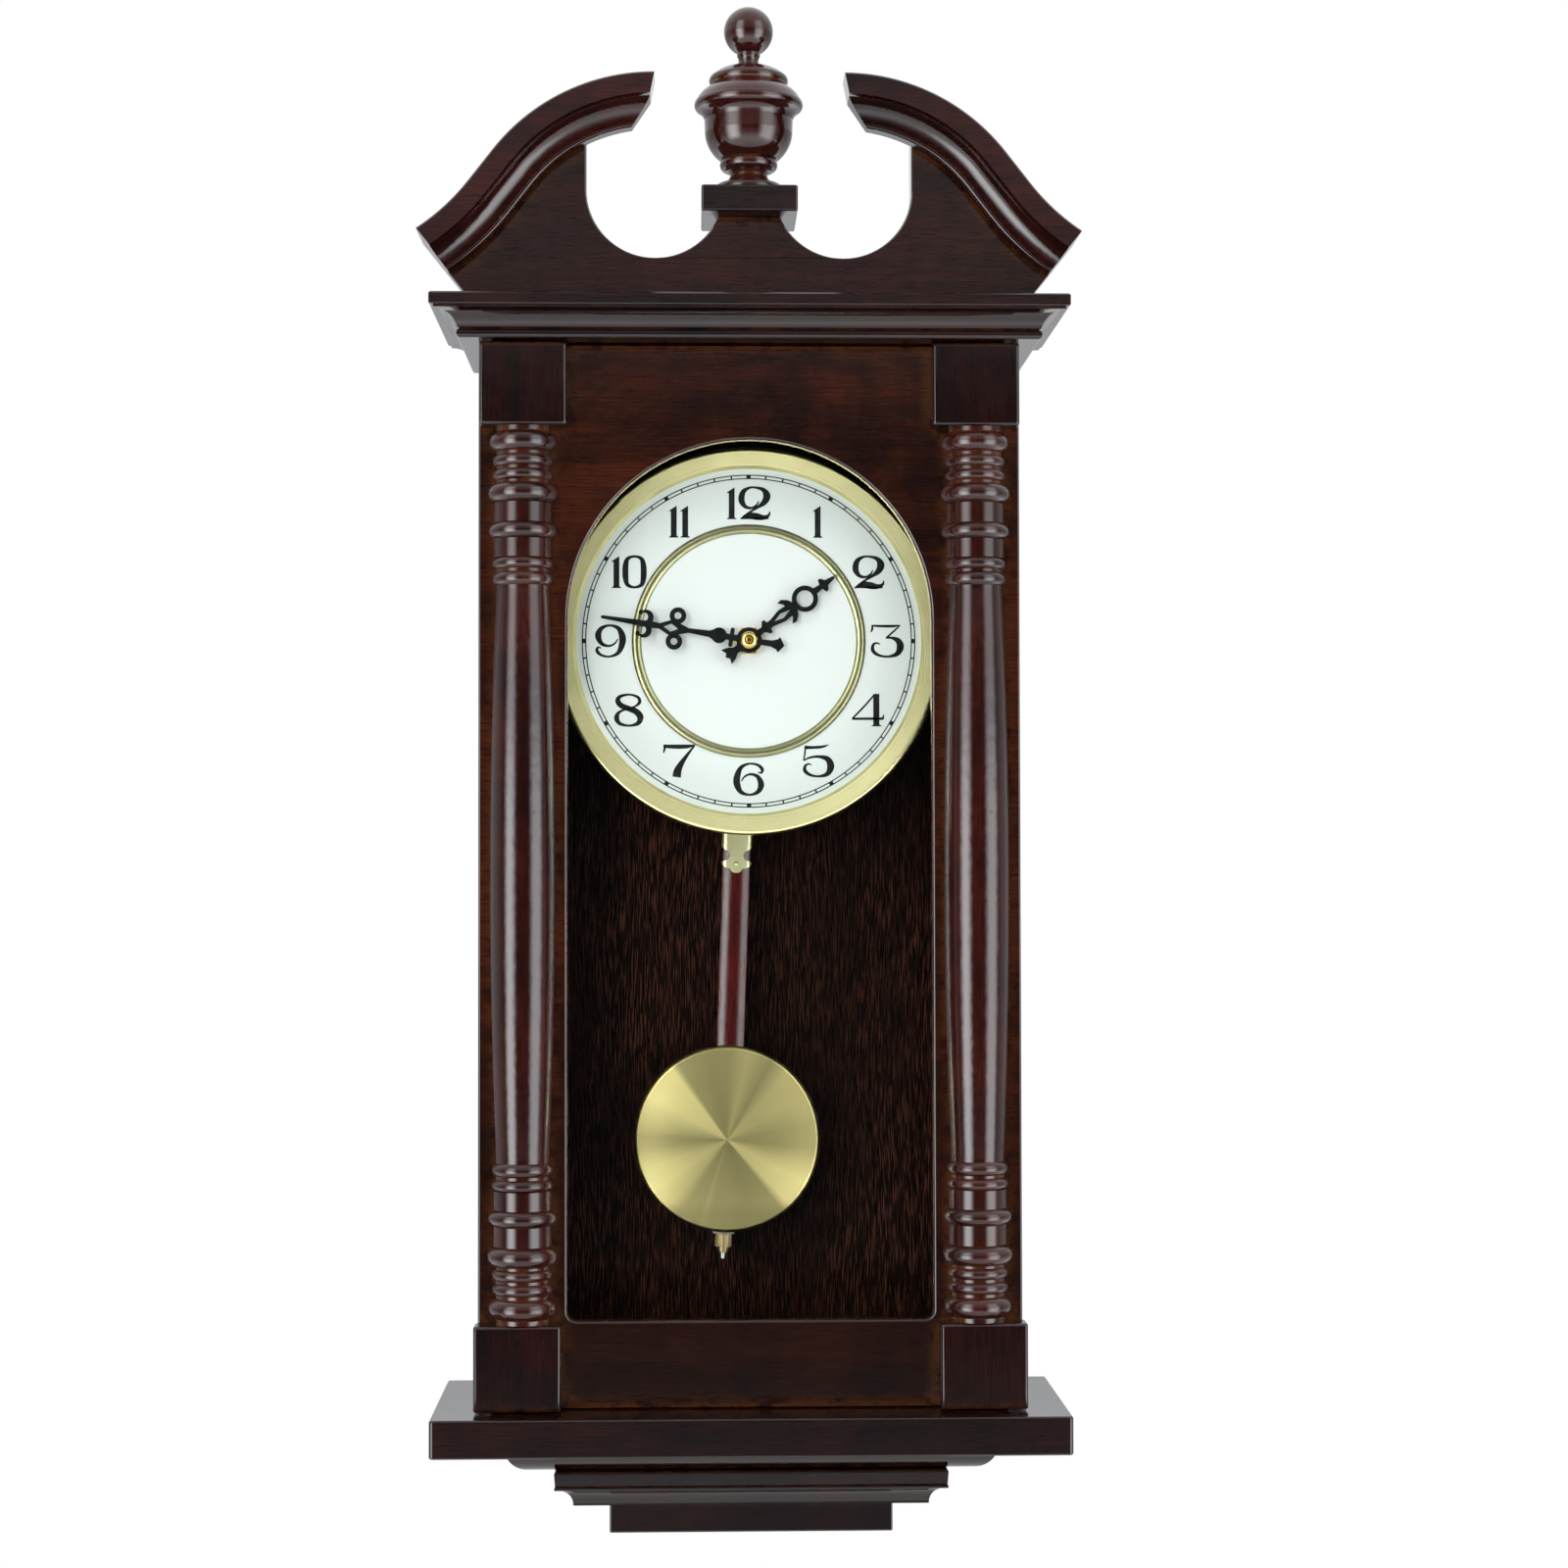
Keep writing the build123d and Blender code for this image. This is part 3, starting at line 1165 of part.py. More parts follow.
STATOR_BACK = 43.2
STATOR_FRONT = 44.8
STATOR_PEGS = ((ROTOR_AT[0] - 14.0, ROTOR_AT[1] + 2.5), (ROTOR_AT[0] + 14.0, ROTOR_AT[1] + 2.5))
PEG_RADIUS = 1.4
CORE_DROP = -21.5           # middle of the coil's core below the rotor
CORE_HEIGHT = 6.0

with BuildPart() as motor_stator:
    with BuildSketch(dial_plane(STATOR_BACK)):
        with Locations((ROTOR_AT[0], ROTOR_AT[1] - 9.5)):
            RectangleRounded(34, 30, 3)
        with Locations((ROTOR_AT[0], ROTOR_AT[1] - 12.5)):
            Rectangle(22, 12, mode=Mode.SUBTRACT)
        hole(ROTOR_AT[0], ROTOR_AT[1], MAGNET_RADIUS + 0.6)
        for peg in STATOR_PEGS:
            hole(peg[0], peg[1], PEG_RADIUS)
    extrude(amount=STATOR_FRONT - STATOR_BACK)

with BuildPart() as motor_coil:
    coil_height = DIAL_HEIGHT + ROTOR_AT[1] + CORE_DROP
    coil_depth = (STATOR_BACK + STATOR_FRONT) / 2
    coil_left = ROTOR_AT[0] - 10.5
    cheek = Plane(origin=(coil_left, -coil_depth, level(coil_height)), x_dir=(0, -1, 0), z_dir=(1, 0, 0))
    with BuildSketch(cheek):
        Circle(4.9)
    extrude(amount=21)
    for along in (0, 20):
        with BuildSketch(cheek.offset(along)):
            Circle(5.6)
        extrude(amount=1)
    with BuildSketch(cheek.offset(-1)):
        Rectangle(STATOR_FRONT - STATOR_BACK, CORE_HEIGHT)
    extrude(amount=23, mode=Mode.SUBTRACT)


# ---------------------------------------------------------------- movement case and contents

BAY_X = (-52.8, -21.2)
BAY_HEIGHTS = (352.4, 404.6)
BAY_FLOOR = 39.0
BAY_WALL = 1.2
BOARD_BACK = 41.0
BOARD_FRONT = 42.6
BOARD_PEGS = ((-46.5, 416.0), (-28.0, 460.0))
SPEAKER_AT = (31.0, 38.0)
SPEAKER_RADIUS = 19.0
SWITCH_AT = (30.6, -47.0)
SWITCH_TRAVEL = 6.0
KNOB_SLOT = 3.4
LOWER_CASE = DIAL_HEIGHT - MOVEMENT_HALF_HEIGHT
UPPER_CASE = DIAL_HEIGHT + MOVEMENT_HALF_HEIGHT


def movement_outline(inset):
    RectangleRounded(
        2 * (MOVEMENT_HALF_WIDTH - inset), 2 * (MOVEMENT_HALF_HEIGHT - inset), 5 - inset
    )


with BuildPart() as movement_case_front:
    with BuildSketch(dial_plane(MOVEMENT_SEAM)):
        movement_outline(0)
    extrude(amount=MOVEMENT_FRONT - MOVEMENT_SEAM)
    with BuildSketch(dial_plane(MOVEMENT_SEAM)):
        movement_outline(MOVEMENT_WALL)
    extrude(amount=MOVEMENT_FRONT - MOVEMENT_PLATE - MOVEMENT_SEAM, mode=Mode.SUBTRACT)
    # threaded bushing that carries the movement in the dial board
    boss(ARBOR_AT, BUSHING_RADIUS, (MOVEMENT_FRONT - 1, 62.8))
    boss(ARBOR_AT, HOUR_PIPE_RADIUS + RUNNING, (52.0, 63.0), mode=Mode.SUBTRACT)
    for at, radius in (
        (MINUTE_WHEEL_AT, 0.7),
        (SET_KNOB_AT, 0.7),
        (SECOND_AT, THIN_ARBOR),
        (FIRST_AT, THIN_ARBOR),
        (ROTOR_AT, THIN_ARBOR),
    ):
        boss(at, 2.4, (BOSS_TIP, MOVEMENT_FRONT - 1))
        boss(at, radius + RUNNING, (BOSS_TIP - 1, PIVOT_FRONT + 0.3), mode=Mode.SUBTRACT)

with BuildPart() as movement_case_back:
    with BuildSketch(dial_plane(MOVEMENT_BACK)):
        movement_outline(0)
    extrude(amount=MOVEMENT_SEAM - MOVEMENT_BACK)
    with BuildSketch(dial_plane(MOVEMENT_BACK + MOVEMENT_PLATE)):
        movement_outline(MOVEMENT_WALL)
    extrude(amount=MOVEMENT_SEAM - MOVEMENT_BACK, mode=Mode.SUBTRACT)
    # battery bay, open to the back
    slab(
        (-MOVEMENT_HALF_WIDTH + 1, BAY_X[1] + BAY_WALL),
        (MOVEMENT_BACK, MOVEMENT_SEAM),
        (LOWER_CASE + 1.4, BAY_HEIGHTS[1] + BAY_WALL),
    )
    slab(BAY_X, (MOVEMENT_BACK - 1, BAY_FLOOR), BAY_HEIGHTS, mode=Mode.SUBTRACT)
    # posts for the arbors
    for at, radius in (
        (MINUTE_WHEEL_AT, 0.7),
        (SECOND_AT, THIN_ARBOR),
        (FIRST_AT, THIN_ARBOR),
        (ROTOR_AT, THIN_ARBOR),
        (ARBOR_AT, ARBOR_RADIUS),
    ):
        boss(at, 3.2, (MOVEMENT_BACK + 1, POST_TIP))
        boss(at, radius + RUNNING, (PIVOT_BACK - 0.3, POST_TIP + 1), mode=Mode.SUBTRACT)
    boss(SET_KNOB_AT, 3.2, (MOVEMENT_BACK + 1, POST_TIP))
    boss(SET_KNOB_AT, 1.5 + RUNNING, (MOVEMENT_BACK - 1, POST_TIP + 1), mode=Mode.SUBTRACT)
    # pegs that carry the stator and the circuit board
    for peg in STATOR_PEGS:
        boss(peg, 2.6, (MOVEMENT_BACK + 1, STATOR_BACK))
        boss(peg, PEG_RADIUS, (STATOR_BACK - 1, STATOR_FRONT + 0.6))
    for x, height in BOARD_PEGS:
        rod_forward(x, height, 2.6, (MOVEMENT_BACK + 1, BOARD_BACK))
        rod_forward(x, height, 1.2, (BOARD_BACK - 1, BOARD_FRONT + 0.6))
    # sound holes behind the loudspeaker
    with BuildSketch(dial_plane(MOVEMENT_BACK - 1)):
        with Locations(SPEAKER_AT):
            Circle(1.3)
            with PolarLocations(5.0, 6):
                Circle(1.3)
            with PolarLocations(10.0, 12):
                Circle(1.3)
    extrude(amount=MOVEMENT_PLATE + 2, mode=Mode.SUBTRACT)
    # slot and guide ribs of the chime switch
    with BuildSketch(dial_plane(MOVEMENT_BACK - 1)):
        with Locations((SWITCH_AT[0] + SWITCH_TRAVEL / 2, SWITCH_AT[1])):
            Rectangle(SWITCH_TRAVEL + KNOB_SLOT + 0.4, KNOB_SLOT)
    extrude(amount=MOVEMENT_PLATE + 2, mode=Mode.SUBTRACT)
    with BuildSketch(dial_plane(MOVEMENT_BACK + MOVEMENT_PLATE - 0.5)):
        for side in (-4.6, 4.6):
            with Locations((SWITCH_AT[0] + SWITCH_TRAVEL / 2, SWITCH_AT[1] + side)):
                Rectangle(30, 1.4)
    extrude(amount=3.0)
    # pivot pin of the pendulum arm, with its retaining head
    pin_rise = PIVOT_HEIGHT - DIAL_HEIGHT
    boss((0, pin_rise), 1.5, (19.2, MOVEMENT_BACK + 1))
    boss((0, pin_rise), 2.6, (19.2, 20.0))
    boss((0, pin_rise), 3.6, (23.0, MOVEMENT_BACK + 1))

CELL_RADIUS = 7.1
CELL_DEPTH = 31.9

with BuildPart() as batteries:
    for x, cell_bottom, nub_up in ((-44.6, 353.4, True), (-29.4, 353.4 + 1.4, False)):
        with BuildSketch(plan(cell_bottom)):
            with Locations((x, -CELL_DEPTH)):
                Circle(CELL_RADIUS)
        extrude(amount=48.8)
        nub = cell_bottom + 48.8 if nub_up else cell_bottom - 1.2
        with BuildSketch(plan(nub)):
            with Locations((x, -CELL_DEPTH)):
                Circle(2.7)
        extrude(amount=1.2)

with BuildPart() as circuit_board:
    with BuildSketch(facing(BOARD_BACK)):
        with Locations((-37.3, 438)):
            Rectangle(27, 53)
        for x, height in BOARD_PEGS:
            hole(x, height, 1.2)
    extrude(amount=BOARD_FRONT - BOARD_BACK)
    # potted chip, crystal can and two capacitors
    rod_forward(-37.0, 440.0, 6.0, (BOARD_FRONT, BOARD_FRONT + 1.6))
    rod_forward(-30.0, 424.0, 1.5, (BOARD_FRONT, BOARD_FRONT + 6.0))
    for height in (450.0, 456.5):
        rod_forward(-45.0, height, 2.5, (BOARD_FRONT, BOARD_FRONT + 7.0))

with BuildPart() as speaker:
    with BuildSketch(lathe_section(SPEAKER_AT[0], DIAL_HEIGHT + SPEAKER_AT[1])):
        with BuildLine():
            Polyline(
                (SPEAKER_RADIUS - 2.5, MOVEMENT_BACK + MOVEMENT_PLATE),
                (SPEAKER_RADIUS, MOVEMENT_BACK + MOVEMENT_PLATE),
                (SPEAKER_RADIUS, 27.4),
                (SPEAKER_RADIUS - 3, 28.4),
                (10.0, 32.4),
                (10.0, 37.6),
                (0, 37.6),
                (0, 31.4),
                (5.0, 31.0),
                (SPEAKER_RADIUS - 2.5, MOVEMENT_BACK + MOVEMENT_PLATE),
            )
        make_face()
    revolve(axis=Axis((SPEAKER_AT[0], 0, level(DIAL_HEIGHT + SPEAKER_AT[1])), (0, -1, 0)))

with BuildPart() as switch_slider:
    with BuildSketch(dial_plane(MOVEMENT_BACK + MOVEMENT_PLATE + 0.1)):
        with Locations(SWITCH_AT):
            Rectangle(16, 7.4)
    extrude(amount=1.2)
    with BuildSketch(dial_plane(22.0)):
        with Locations(SWITCH_AT):
            Rectangle(KNOB_SLOT, KNOB_SLOT - 0.4)
    extrude(amount=4.6)


# ---------------------------------------------------------------- pendulum, swung by SWING

SWING_ANGLE = radians(SWING)
SWING_RIGHT = Vector(cos(SWING_ANGLE), 0, -sin(SWING_ANGLE))
SWING_UP = Vector(sin(SWING_ANGLE), 0, cos(SWING_ANGLE))


def on_pendulum(height, depth=0.0):
    """Point on the pendulum's middle line, given by its height when the pendulum is plumb."""
    return Vector(0, -depth, level(PIVOT_HEIGHT)) + SWING_UP * (height - PIVOT_HEIGHT)


def pendulum_face(depth):
    """Plane parallel to the wall that swings with the pendulum; coordinates X and plumb height."""
    return Plane(origin=on_pendulum(0, depth), x_dir=SWING_RIGHT, z_dir=(0, -1, 0))


def pendulum_floor(height, depth):
    """Plane across the pendulum at a height, its origin at a depth."""
    return Plane(origin=on_pendulum(height, depth), x_dir=SWING_RIGHT, z_dir=SWING_UP)


def pendulum_slab(half_width, depth_limits, height_limits, mode=Mode.ADD, x=0.0):
    with BuildSketch(pendulum_face(depth_limits[0])) as outline:
        with Locations((x, sum(height_limits) / 2)):
            Rectangle(2 * half_width, height_limits[1] - height_limits[0])
    extrude(outline.sketch, amount=depth_limits[1] - depth_limits[0], mode=mode)


ARM_BACK = 20.2
ARM_FRONT = 22.8
PEG_HEIGHT = 338.0
PEG_SHANK = 1.2
BRACKET_FRONT = 33.0
ROD_TOP = 324.0
ROD_BOTTOM = 140.0
ROD_HALF_WIDTH = 6.5
ROD_CROWN = 1.8                     # how far the middle of its rounded front stands out
ROD_MIDDLE = (PENDULUM_BACK + PENDULUM_FRONT) / 2
STEM_RADIUS = 1.1
STEM_BOTTOM = 116.6

with BuildPart() as pendulum_arm:
    with BuildSketch(pendulum_face(ARM_BACK)):
        with Locations((0, (PIVOT_HEIGHT + PEG_HEIGHT) / 2)):
            Rectangle(7, PIVOT_HEIGHT - PEG_HEIGHT)
        disc(0, PIVOT_HEIGHT, 5.0)
        disc(0, PEG_HEIGHT, 5.0)
        hole(0, PIVOT_HEIGHT, 1.5 + RUNNING)
    extrude(amount=ARM_FRONT - ARM_BACK)
    # peg that the pendulum hangs on, with a head that keeps the hook on it
    with BuildSketch(pendulum_face(ARM_FRONT - 0.5)):
        disc(0, PEG_HEIGHT, PEG_SHANK)
    extrude(amount=BRACKET_FRONT + 0.8 - ARM_FRONT)
    with BuildSketch(pendulum_face(BRACKET_FRONT + 0.2)):
        disc(0, PEG_HEIGHT, 1.9)
    extrude(amount=0.8)

BRACKET_GAUGE = BRACKET_FRONT - PENDULUM_FRONT
BRACKET_FLAT = 4.6                  # half-width of its flat middle
BRACKET_BEND = 3.0                  # radius to which its sides are bent back round the rod


def bracket_outline():
    """Front of the bracket: straight shoulders, a waist, pointed wings and a rounded drop."""
    with BuildLine() as outline:
        for side in (1, -1):
            Polyline((0, 321), (side * 7.1, 321), (side * 7.1, 312.5), (side * 5.4, 311.3))
            ThreePointArc((side * 5.4, 311.3), (side * 3.2, 308.7), (side * 4.6, 306.6))
            Line((side * 4.6, 306.6), (side * 7.3, 305.6))
            ThreePointArc((side * 7.3, 305.6), (side * 5.8, 303.4), (side * 2.9, 302.6))
            ThreePointArc((side * 2.9, 302.6), (side * 2.0, 301.1), (0, 300.6))
    make_face(outline.edges())


with BuildPart() as pendulum_bracket:
    with BuildSketch(pendulum_face(PENDULUM_FRONT - 4)):
        bracket_outline()
    extrude(amount=BRACKET_GAUGE + 4)
    # sheet of even gauge, flat in the middle and bent back at the sides
    with BuildSketch(pendulum_floor(290, PENDULUM_FRONT)):
        with BuildLine():
            half_turn = BRACKET_BEND * cos(radians(45))
            inner = BRACKET_BEND - BRACKET_GAUGE
            inner_half = inner * cos(radians(45))
            flat = BRACKET_FLAT
            bend_y = BRACKET_BEND - BRACKET_GAUGE
            Line((-flat, -BRACKET_GAUGE), (flat, -BRACKET_GAUGE))
            ThreePointArc(
                (flat, -BRACKET_GAUGE),
                (flat + half_turn, bend_y - half_turn),
                (flat + BRACKET_BEND, bend_y),
            )
            Line((flat + BRACKET_BEND, bend_y), (flat + inner, bend_y))
            ThreePointArc(
                (flat + inner, bend_y), (flat + inner_half, bend_y - inner_half), (flat, 0)
            )
            Line((flat, 0), (-flat, 0))
            ThreePointArc(
                (-flat, 0), (-flat - inner_half, bend_y - inner_half), (-flat - inner, bend_y)
            )
            Line((-flat - inner, bend_y), (-flat - BRACKET_BEND, bend_y))
            ThreePointArc(
                (-flat - BRACKET_BEND, bend_y),
                (-flat - half_turn, bend_y - half_turn),
                (-flat, -BRACKET_GAUGE),
            )
        make_face()
    extrude(amount=40, mode=Mode.INTERSECT)
    with BuildSketch(pendulum_face(PENDULUM_FRONT)):
        # tongue up to the peg
        with Locations((0, (PEG_HEIGHT + 318) / 2)):
            Rectangle(8, PEG_HEIGHT - 318)
        disc(0, PEG_HEIGHT, 4.0)
        hole(0, PEG_HEIGHT, PEG_SHANK)
    extrude(amount=BRACKET_GAUGE)
    # domed head of the fixing nail
    nail_centre = on_pendulum(304.8, BRACKET_FRONT - 0.6)
    with BuildSketch(Plane(origin=nail_centre, x_dir=SWING_RIGHT, z_dir=-SWING_UP)):
        with BuildLine():
            ThreePointArc((0, 1.3), (0.85, 1.0), (1.3, 0))
            Line((1.3, 0), (0, 0))
            Line((0, 0), (0, 1.3))
        make_face()
    revolve(axis=Axis(nail_centre, (0, -1, 0)))

with BuildPart() as pendulum_rod:
    with BuildSketch(pendulum_floor(ROD_BOTTOM, PENDULUM_FRONT)):
        with BuildLine():
            depth = PENDULUM_FRONT - PENDULUM_BACK
            Polyline(
                (-ROD_HALF_WIDTH, ROD_CROWN),
                (-ROD_HALF_WIDTH, depth - 0.6),
                (-ROD_HALF_WIDTH + 0.6, depth),
                (ROD_HALF_WIDTH - 0.6, depth),
                (ROD_HALF_WIDTH, depth - 0.6),
                (ROD_HALF_WIDTH, ROD_CROWN),
            )
            ThreePointArc((ROD_HALF_WIDTH, ROD_CROWN), (0, 0), (-ROD_HALF_WIDTH, ROD_CROWN))
        make_face()
    extrude(amount=ROD_TOP - ROD_BOTTOM)
    with BuildSketch(pendulum_floor(ROD_BOTTOM - 1, ROD_MIDDLE)):
        Circle(STEM_RADIUS)
    extrude(amount=13, mode=Mode.SUBTRACT)

with BuildPart() as rating_stem:
    with BuildSketch(pendulum_floor(STEM_BOTTOM, ROD_MIDDLE)):
        Circle(STEM_RADIUS)
    extrude(amount=ROD_BOTTOM + 12 - STEM_BOTTOM)
    chamfer(rating_stem.edges().sort_by(Axis.Z)[0], 0.3)

NUT_TOP = 128.6
NUT_RADIUS = 3.85
KNURL_BOTTOM = 122.5
COLLAR_BOTTOM = 119.5
COLLAR_RADIUS = 2.55

with BuildPart() as rating_nut:
    # stepped collar below the knurled grip
    with BuildSketch(pendulum_floor(COLLAR_BOTTOM, ROD_MIDDLE)):
        Circle(COLLAR_RADIUS - 0.5)
    extrude(amount=KNURL_BOTTOM + 0.2 - COLLAR_BOTTOM)
    with BuildSketch(pendulum_floor(COLLAR_BOTTOM + 1.0, ROD_MIDDLE)):
        Circle(COLLAR_RADIUS)
    extrude(amount=KNURL_BOTTOM + 0.2 - COLLAR_BOTTOM - 1.0)
    with BuildSketch(pendulum_floor(KNURL_BOTTOM, ROD_MIDDLE)):
        Circle(NUT_RADIUS)
        with PolarLocations(NUT_RADIUS + 0.1, 26):
            Circle(0.26, mode=Mode.SUBTRACT)
    extrude(amount=NUT_TOP - KNURL_BOTTOM)
    with BuildSketch(pendulum_floor(COLLAR_BOTTOM - 1, ROD_MIDDLE)):
        Circle(STEM_RADIUS + RUNNING)
    extrude(amount=NUT_TOP - COLLAR_BOTTOM + 2, mode=Mode.SUBTRACT)

BOB_PLATE_BACK = 33.4
BOB_PLATE_FRONT = 34.4
BOB_GAUGE = 0.8
GUIDE = 0.15                # clearance between the rod and the channel of the bob's back

BOB_CROWN = 42.0            # depth of the middle of the bob's face
BOB_DOME = 232.0            # radius of its dome


def dome_edge(radius, reach):
    """Point of the bob's dome at a distance from its axis, and its angle from the axis."""
    angle = asin(reach / radius)
    return (reach, BOB_CROWN - BOB_DOME + radius * cos(angle)), degrees(angle)


bob_centre = on_pendulum(BOB_HEIGHT)
outer_edge, outer_angle = dome_edge(BOB_DOME, 41.8)
inner_edge, inner_angle = dome_edge(BOB_DOME - BOB_GAUGE, 41.4)
with BuildPart() as bob:
    with BuildSketch(Plane(origin=bob_centre, x_dir=SWING_RIGHT, z_dir=-SWING_UP)):
        with BuildLine():
            # outer face, from the middle out to the rolled rim
            CenterArc((0, BOB_CROWN - BOB_DOME), BOB_DOME, 90 - outer_angle, outer_angle)
            ThreePointArc(outer_edge, (43.6, 37.4), (BOB_RADIUS, 35.6))
            ThreePointArc((BOB_RADIUS, 35.6), (44.1, 34.0), (43.0, 33.0))
            Line((43.0, 33.0), (42.6, 33.4))
            # inner face
            ThreePointArc((42.6, 33.4), (43.3, 34.4), (BOB_RADIUS - BOB_GAUGE, 35.6))
            ThreePointArc((BOB_RADIUS - BOB_GAUGE, 35.6), (42.9, 36.8), inner_edge)
            CenterArc(
                (0, BOB_CROWN - BOB_DOME), BOB_DOME - BOB_GAUGE, 90 - inner_angle, inner_angle
            )
            Line((0, BOB_CROWN - BOB_GAUGE), (0, BOB_CROWN))
        make_face()
    revolve(axis=Axis(bob_centre, (0, -1, 0)))

LUG_TOP = 134.4
LUG_BOTTOM = 128.8
RIM_CLEARANCE_DEPTH = 32.9          # the lug stays behind the bob's rolled rim up to here
CHANNEL_WALL = 1.2

with BuildPart() as bob_back:
    with BuildSketch(pendulum_face(BOB_PLATE_BACK)):
        disc(0, BOB_HEIGHT, 42.2)
    extrude(amount=BOB_PLATE_FRONT - BOB_PLATE_BACK)
    # channel that slides on the rod, closed behind it by two bridges
    channel_half = ROD_HALF_WIDTH + GUIDE + CHANNEL_WALL
    channel_back = PENDULUM_BACK - GUIDE - CHANNEL_WALL
    for low, high in ((146.0, 158.0), (190.0, 202.0)):
        pendulum_slab(channel_half, (channel_back, BOB_PLATE_BACK), (low, high))
    pendulum_slab(
        ROD_HALF_WIDTH + GUIDE,
        (PENDULUM_BACK - GUIDE, PENDULUM_FRONT + GUIDE),
        (140.0, 210.0),
        mode=Mode.SUBTRACT,
    )
    # lug that rests on the rating nut
    pendulum_slab(5.0, (PENDULUM_BACK - 0.5, RIM_CLEARANCE_DEPTH), (LUG_BOTTOM, LUG_TOP))
    pendulum_slab(5.0, (RIM_CLEARANCE_DEPTH - 1, BOB_PLATE_BACK + 0.2), (132.2, LUG_TOP))
    with BuildSketch(pendulum_floor(LUG_BOTTOM - 1, ROD_MIDDLE)):
        Circle(STEM_RADIUS + 0.3)
    extrude(amount=LUG_TOP - LUG_BOTTOM + 2, mode=Mode.SUBTRACT)


# ---------------------------------------------------------------- export

PIECES = {
    "back_panel": back_panel,
    "side_left": side_left,
    "side_right": side_right,
    "cornice_board": cornice_board,
    "base_board": base_board,
    "base_step_upper": base_step_upper,
    "base_step_lower": base_step_lower,
    "base_block": base_block,
    "tympanum": tympanum,
    "swan_neck_left": swan_neck_left,
    "swan_neck_right": swan_neck_right,
    "finial_plinth": finial_plinth,
    "finial": finial,
    "door_frame": door_frame,
    "block_top_left": block_top_left,
    "block_top_right": block_top_right,
    "block_bottom_left": block_bottom_left,
    "block_bottom_right": block_bottom_right,
    "column_left": column_left,
    "column_right": column_right,
    "door_glass": door_glass,
    "glass_retainer": glass_retainer,
    "hinge_case_leaves": hinge_case_leaves,
    "hinge_door_leaves": hinge_door_leaves,
    "hinge_pins": hinge_pins,
    "case_screws": case_screws,
    "door_screws": door_screws,
    "catch_magnet": catch_magnet,
    "hanger_plate": hanger_plate,
    "dial_board": dial_board,
    "dial_plate": dial_plate,
    "dial_bezel": dial_bezel,
    "dial_ring": dial_ring,
    "dial_nut": dial_nut,
    "hour_hand": hour_hand,
    "minute_hand": minute_hand,
    "hand_nut": hand_nut,
    "movement_case_front": movement_case_front,
    "movement_case_back": movement_case_back,
    "batteries": batteries,
    "circuit_board": circuit_board,
    "speaker": speaker,
    "switch_slider": switch_slider,
    "motor_coil": motor_coil,
    "motor_stator": motor_stator,
    "rotor": rotor,
    "first_wheel": first_wheel,
    "second_wheel": second_wheel,
    "centre_wheel": centre_wheel,
    "minute_arbor": minute_arbor,
    "minute_wheel": minute_wheel,
    "hour_wheel": hour_wheel,
    "set_knob": set_knob,
    "pendulum_arm": pendulum_arm,
    "pendulum_bracket": pendulum_bracket,
    "pendulum_rod": pendulum_rod,
    "rating_stem": rating_stem,
    "rating_nut": rating_nut,
    "bob": bob,
    "bob_back": bob_back,
}

os.makedirs("parts", exist_ok=True)
for node, piece in PIECES.items():
    piece.part.label = node
    export_step(piece.part, f"parts/{node}.step")
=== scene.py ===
"""Looks of the schoolhouse wall clock: materials, eased edges, printed dial, floor, light and camera."""
import math

import bmesh
import bpy
from mathutils import Matrix, Vector


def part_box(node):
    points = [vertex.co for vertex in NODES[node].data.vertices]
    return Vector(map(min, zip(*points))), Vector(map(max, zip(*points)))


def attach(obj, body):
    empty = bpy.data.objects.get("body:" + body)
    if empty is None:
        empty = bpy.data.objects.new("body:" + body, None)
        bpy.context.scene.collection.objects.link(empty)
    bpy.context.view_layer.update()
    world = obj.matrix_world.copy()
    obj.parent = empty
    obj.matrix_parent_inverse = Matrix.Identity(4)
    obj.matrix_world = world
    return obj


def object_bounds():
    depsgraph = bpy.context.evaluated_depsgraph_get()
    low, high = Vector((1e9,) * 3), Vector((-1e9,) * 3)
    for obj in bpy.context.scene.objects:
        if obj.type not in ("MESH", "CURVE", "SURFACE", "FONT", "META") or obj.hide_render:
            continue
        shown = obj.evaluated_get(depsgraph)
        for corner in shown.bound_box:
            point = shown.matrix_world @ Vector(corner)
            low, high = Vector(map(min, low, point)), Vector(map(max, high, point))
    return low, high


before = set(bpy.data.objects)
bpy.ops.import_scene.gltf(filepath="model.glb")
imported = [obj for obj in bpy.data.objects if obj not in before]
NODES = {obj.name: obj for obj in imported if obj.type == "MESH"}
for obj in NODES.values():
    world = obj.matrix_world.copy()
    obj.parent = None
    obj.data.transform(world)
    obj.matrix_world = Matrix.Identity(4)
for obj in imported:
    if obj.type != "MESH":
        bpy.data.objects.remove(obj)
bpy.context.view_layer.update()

MM = 0.001
DIAL_LOW, DIAL_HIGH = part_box("dial_plate")
DIAL_CENTRE = (DIAL_LOW + DIAL_HIGH) / 2
DIAL_FRONT_Y = DIAL_LOW.y
BOB_LOW, BOB_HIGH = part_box("bob")
BOB_CENTRE = (BOB_LOW + BOB_HIGH) / 2


# ---------------------------------------------------------------- node tree helpers

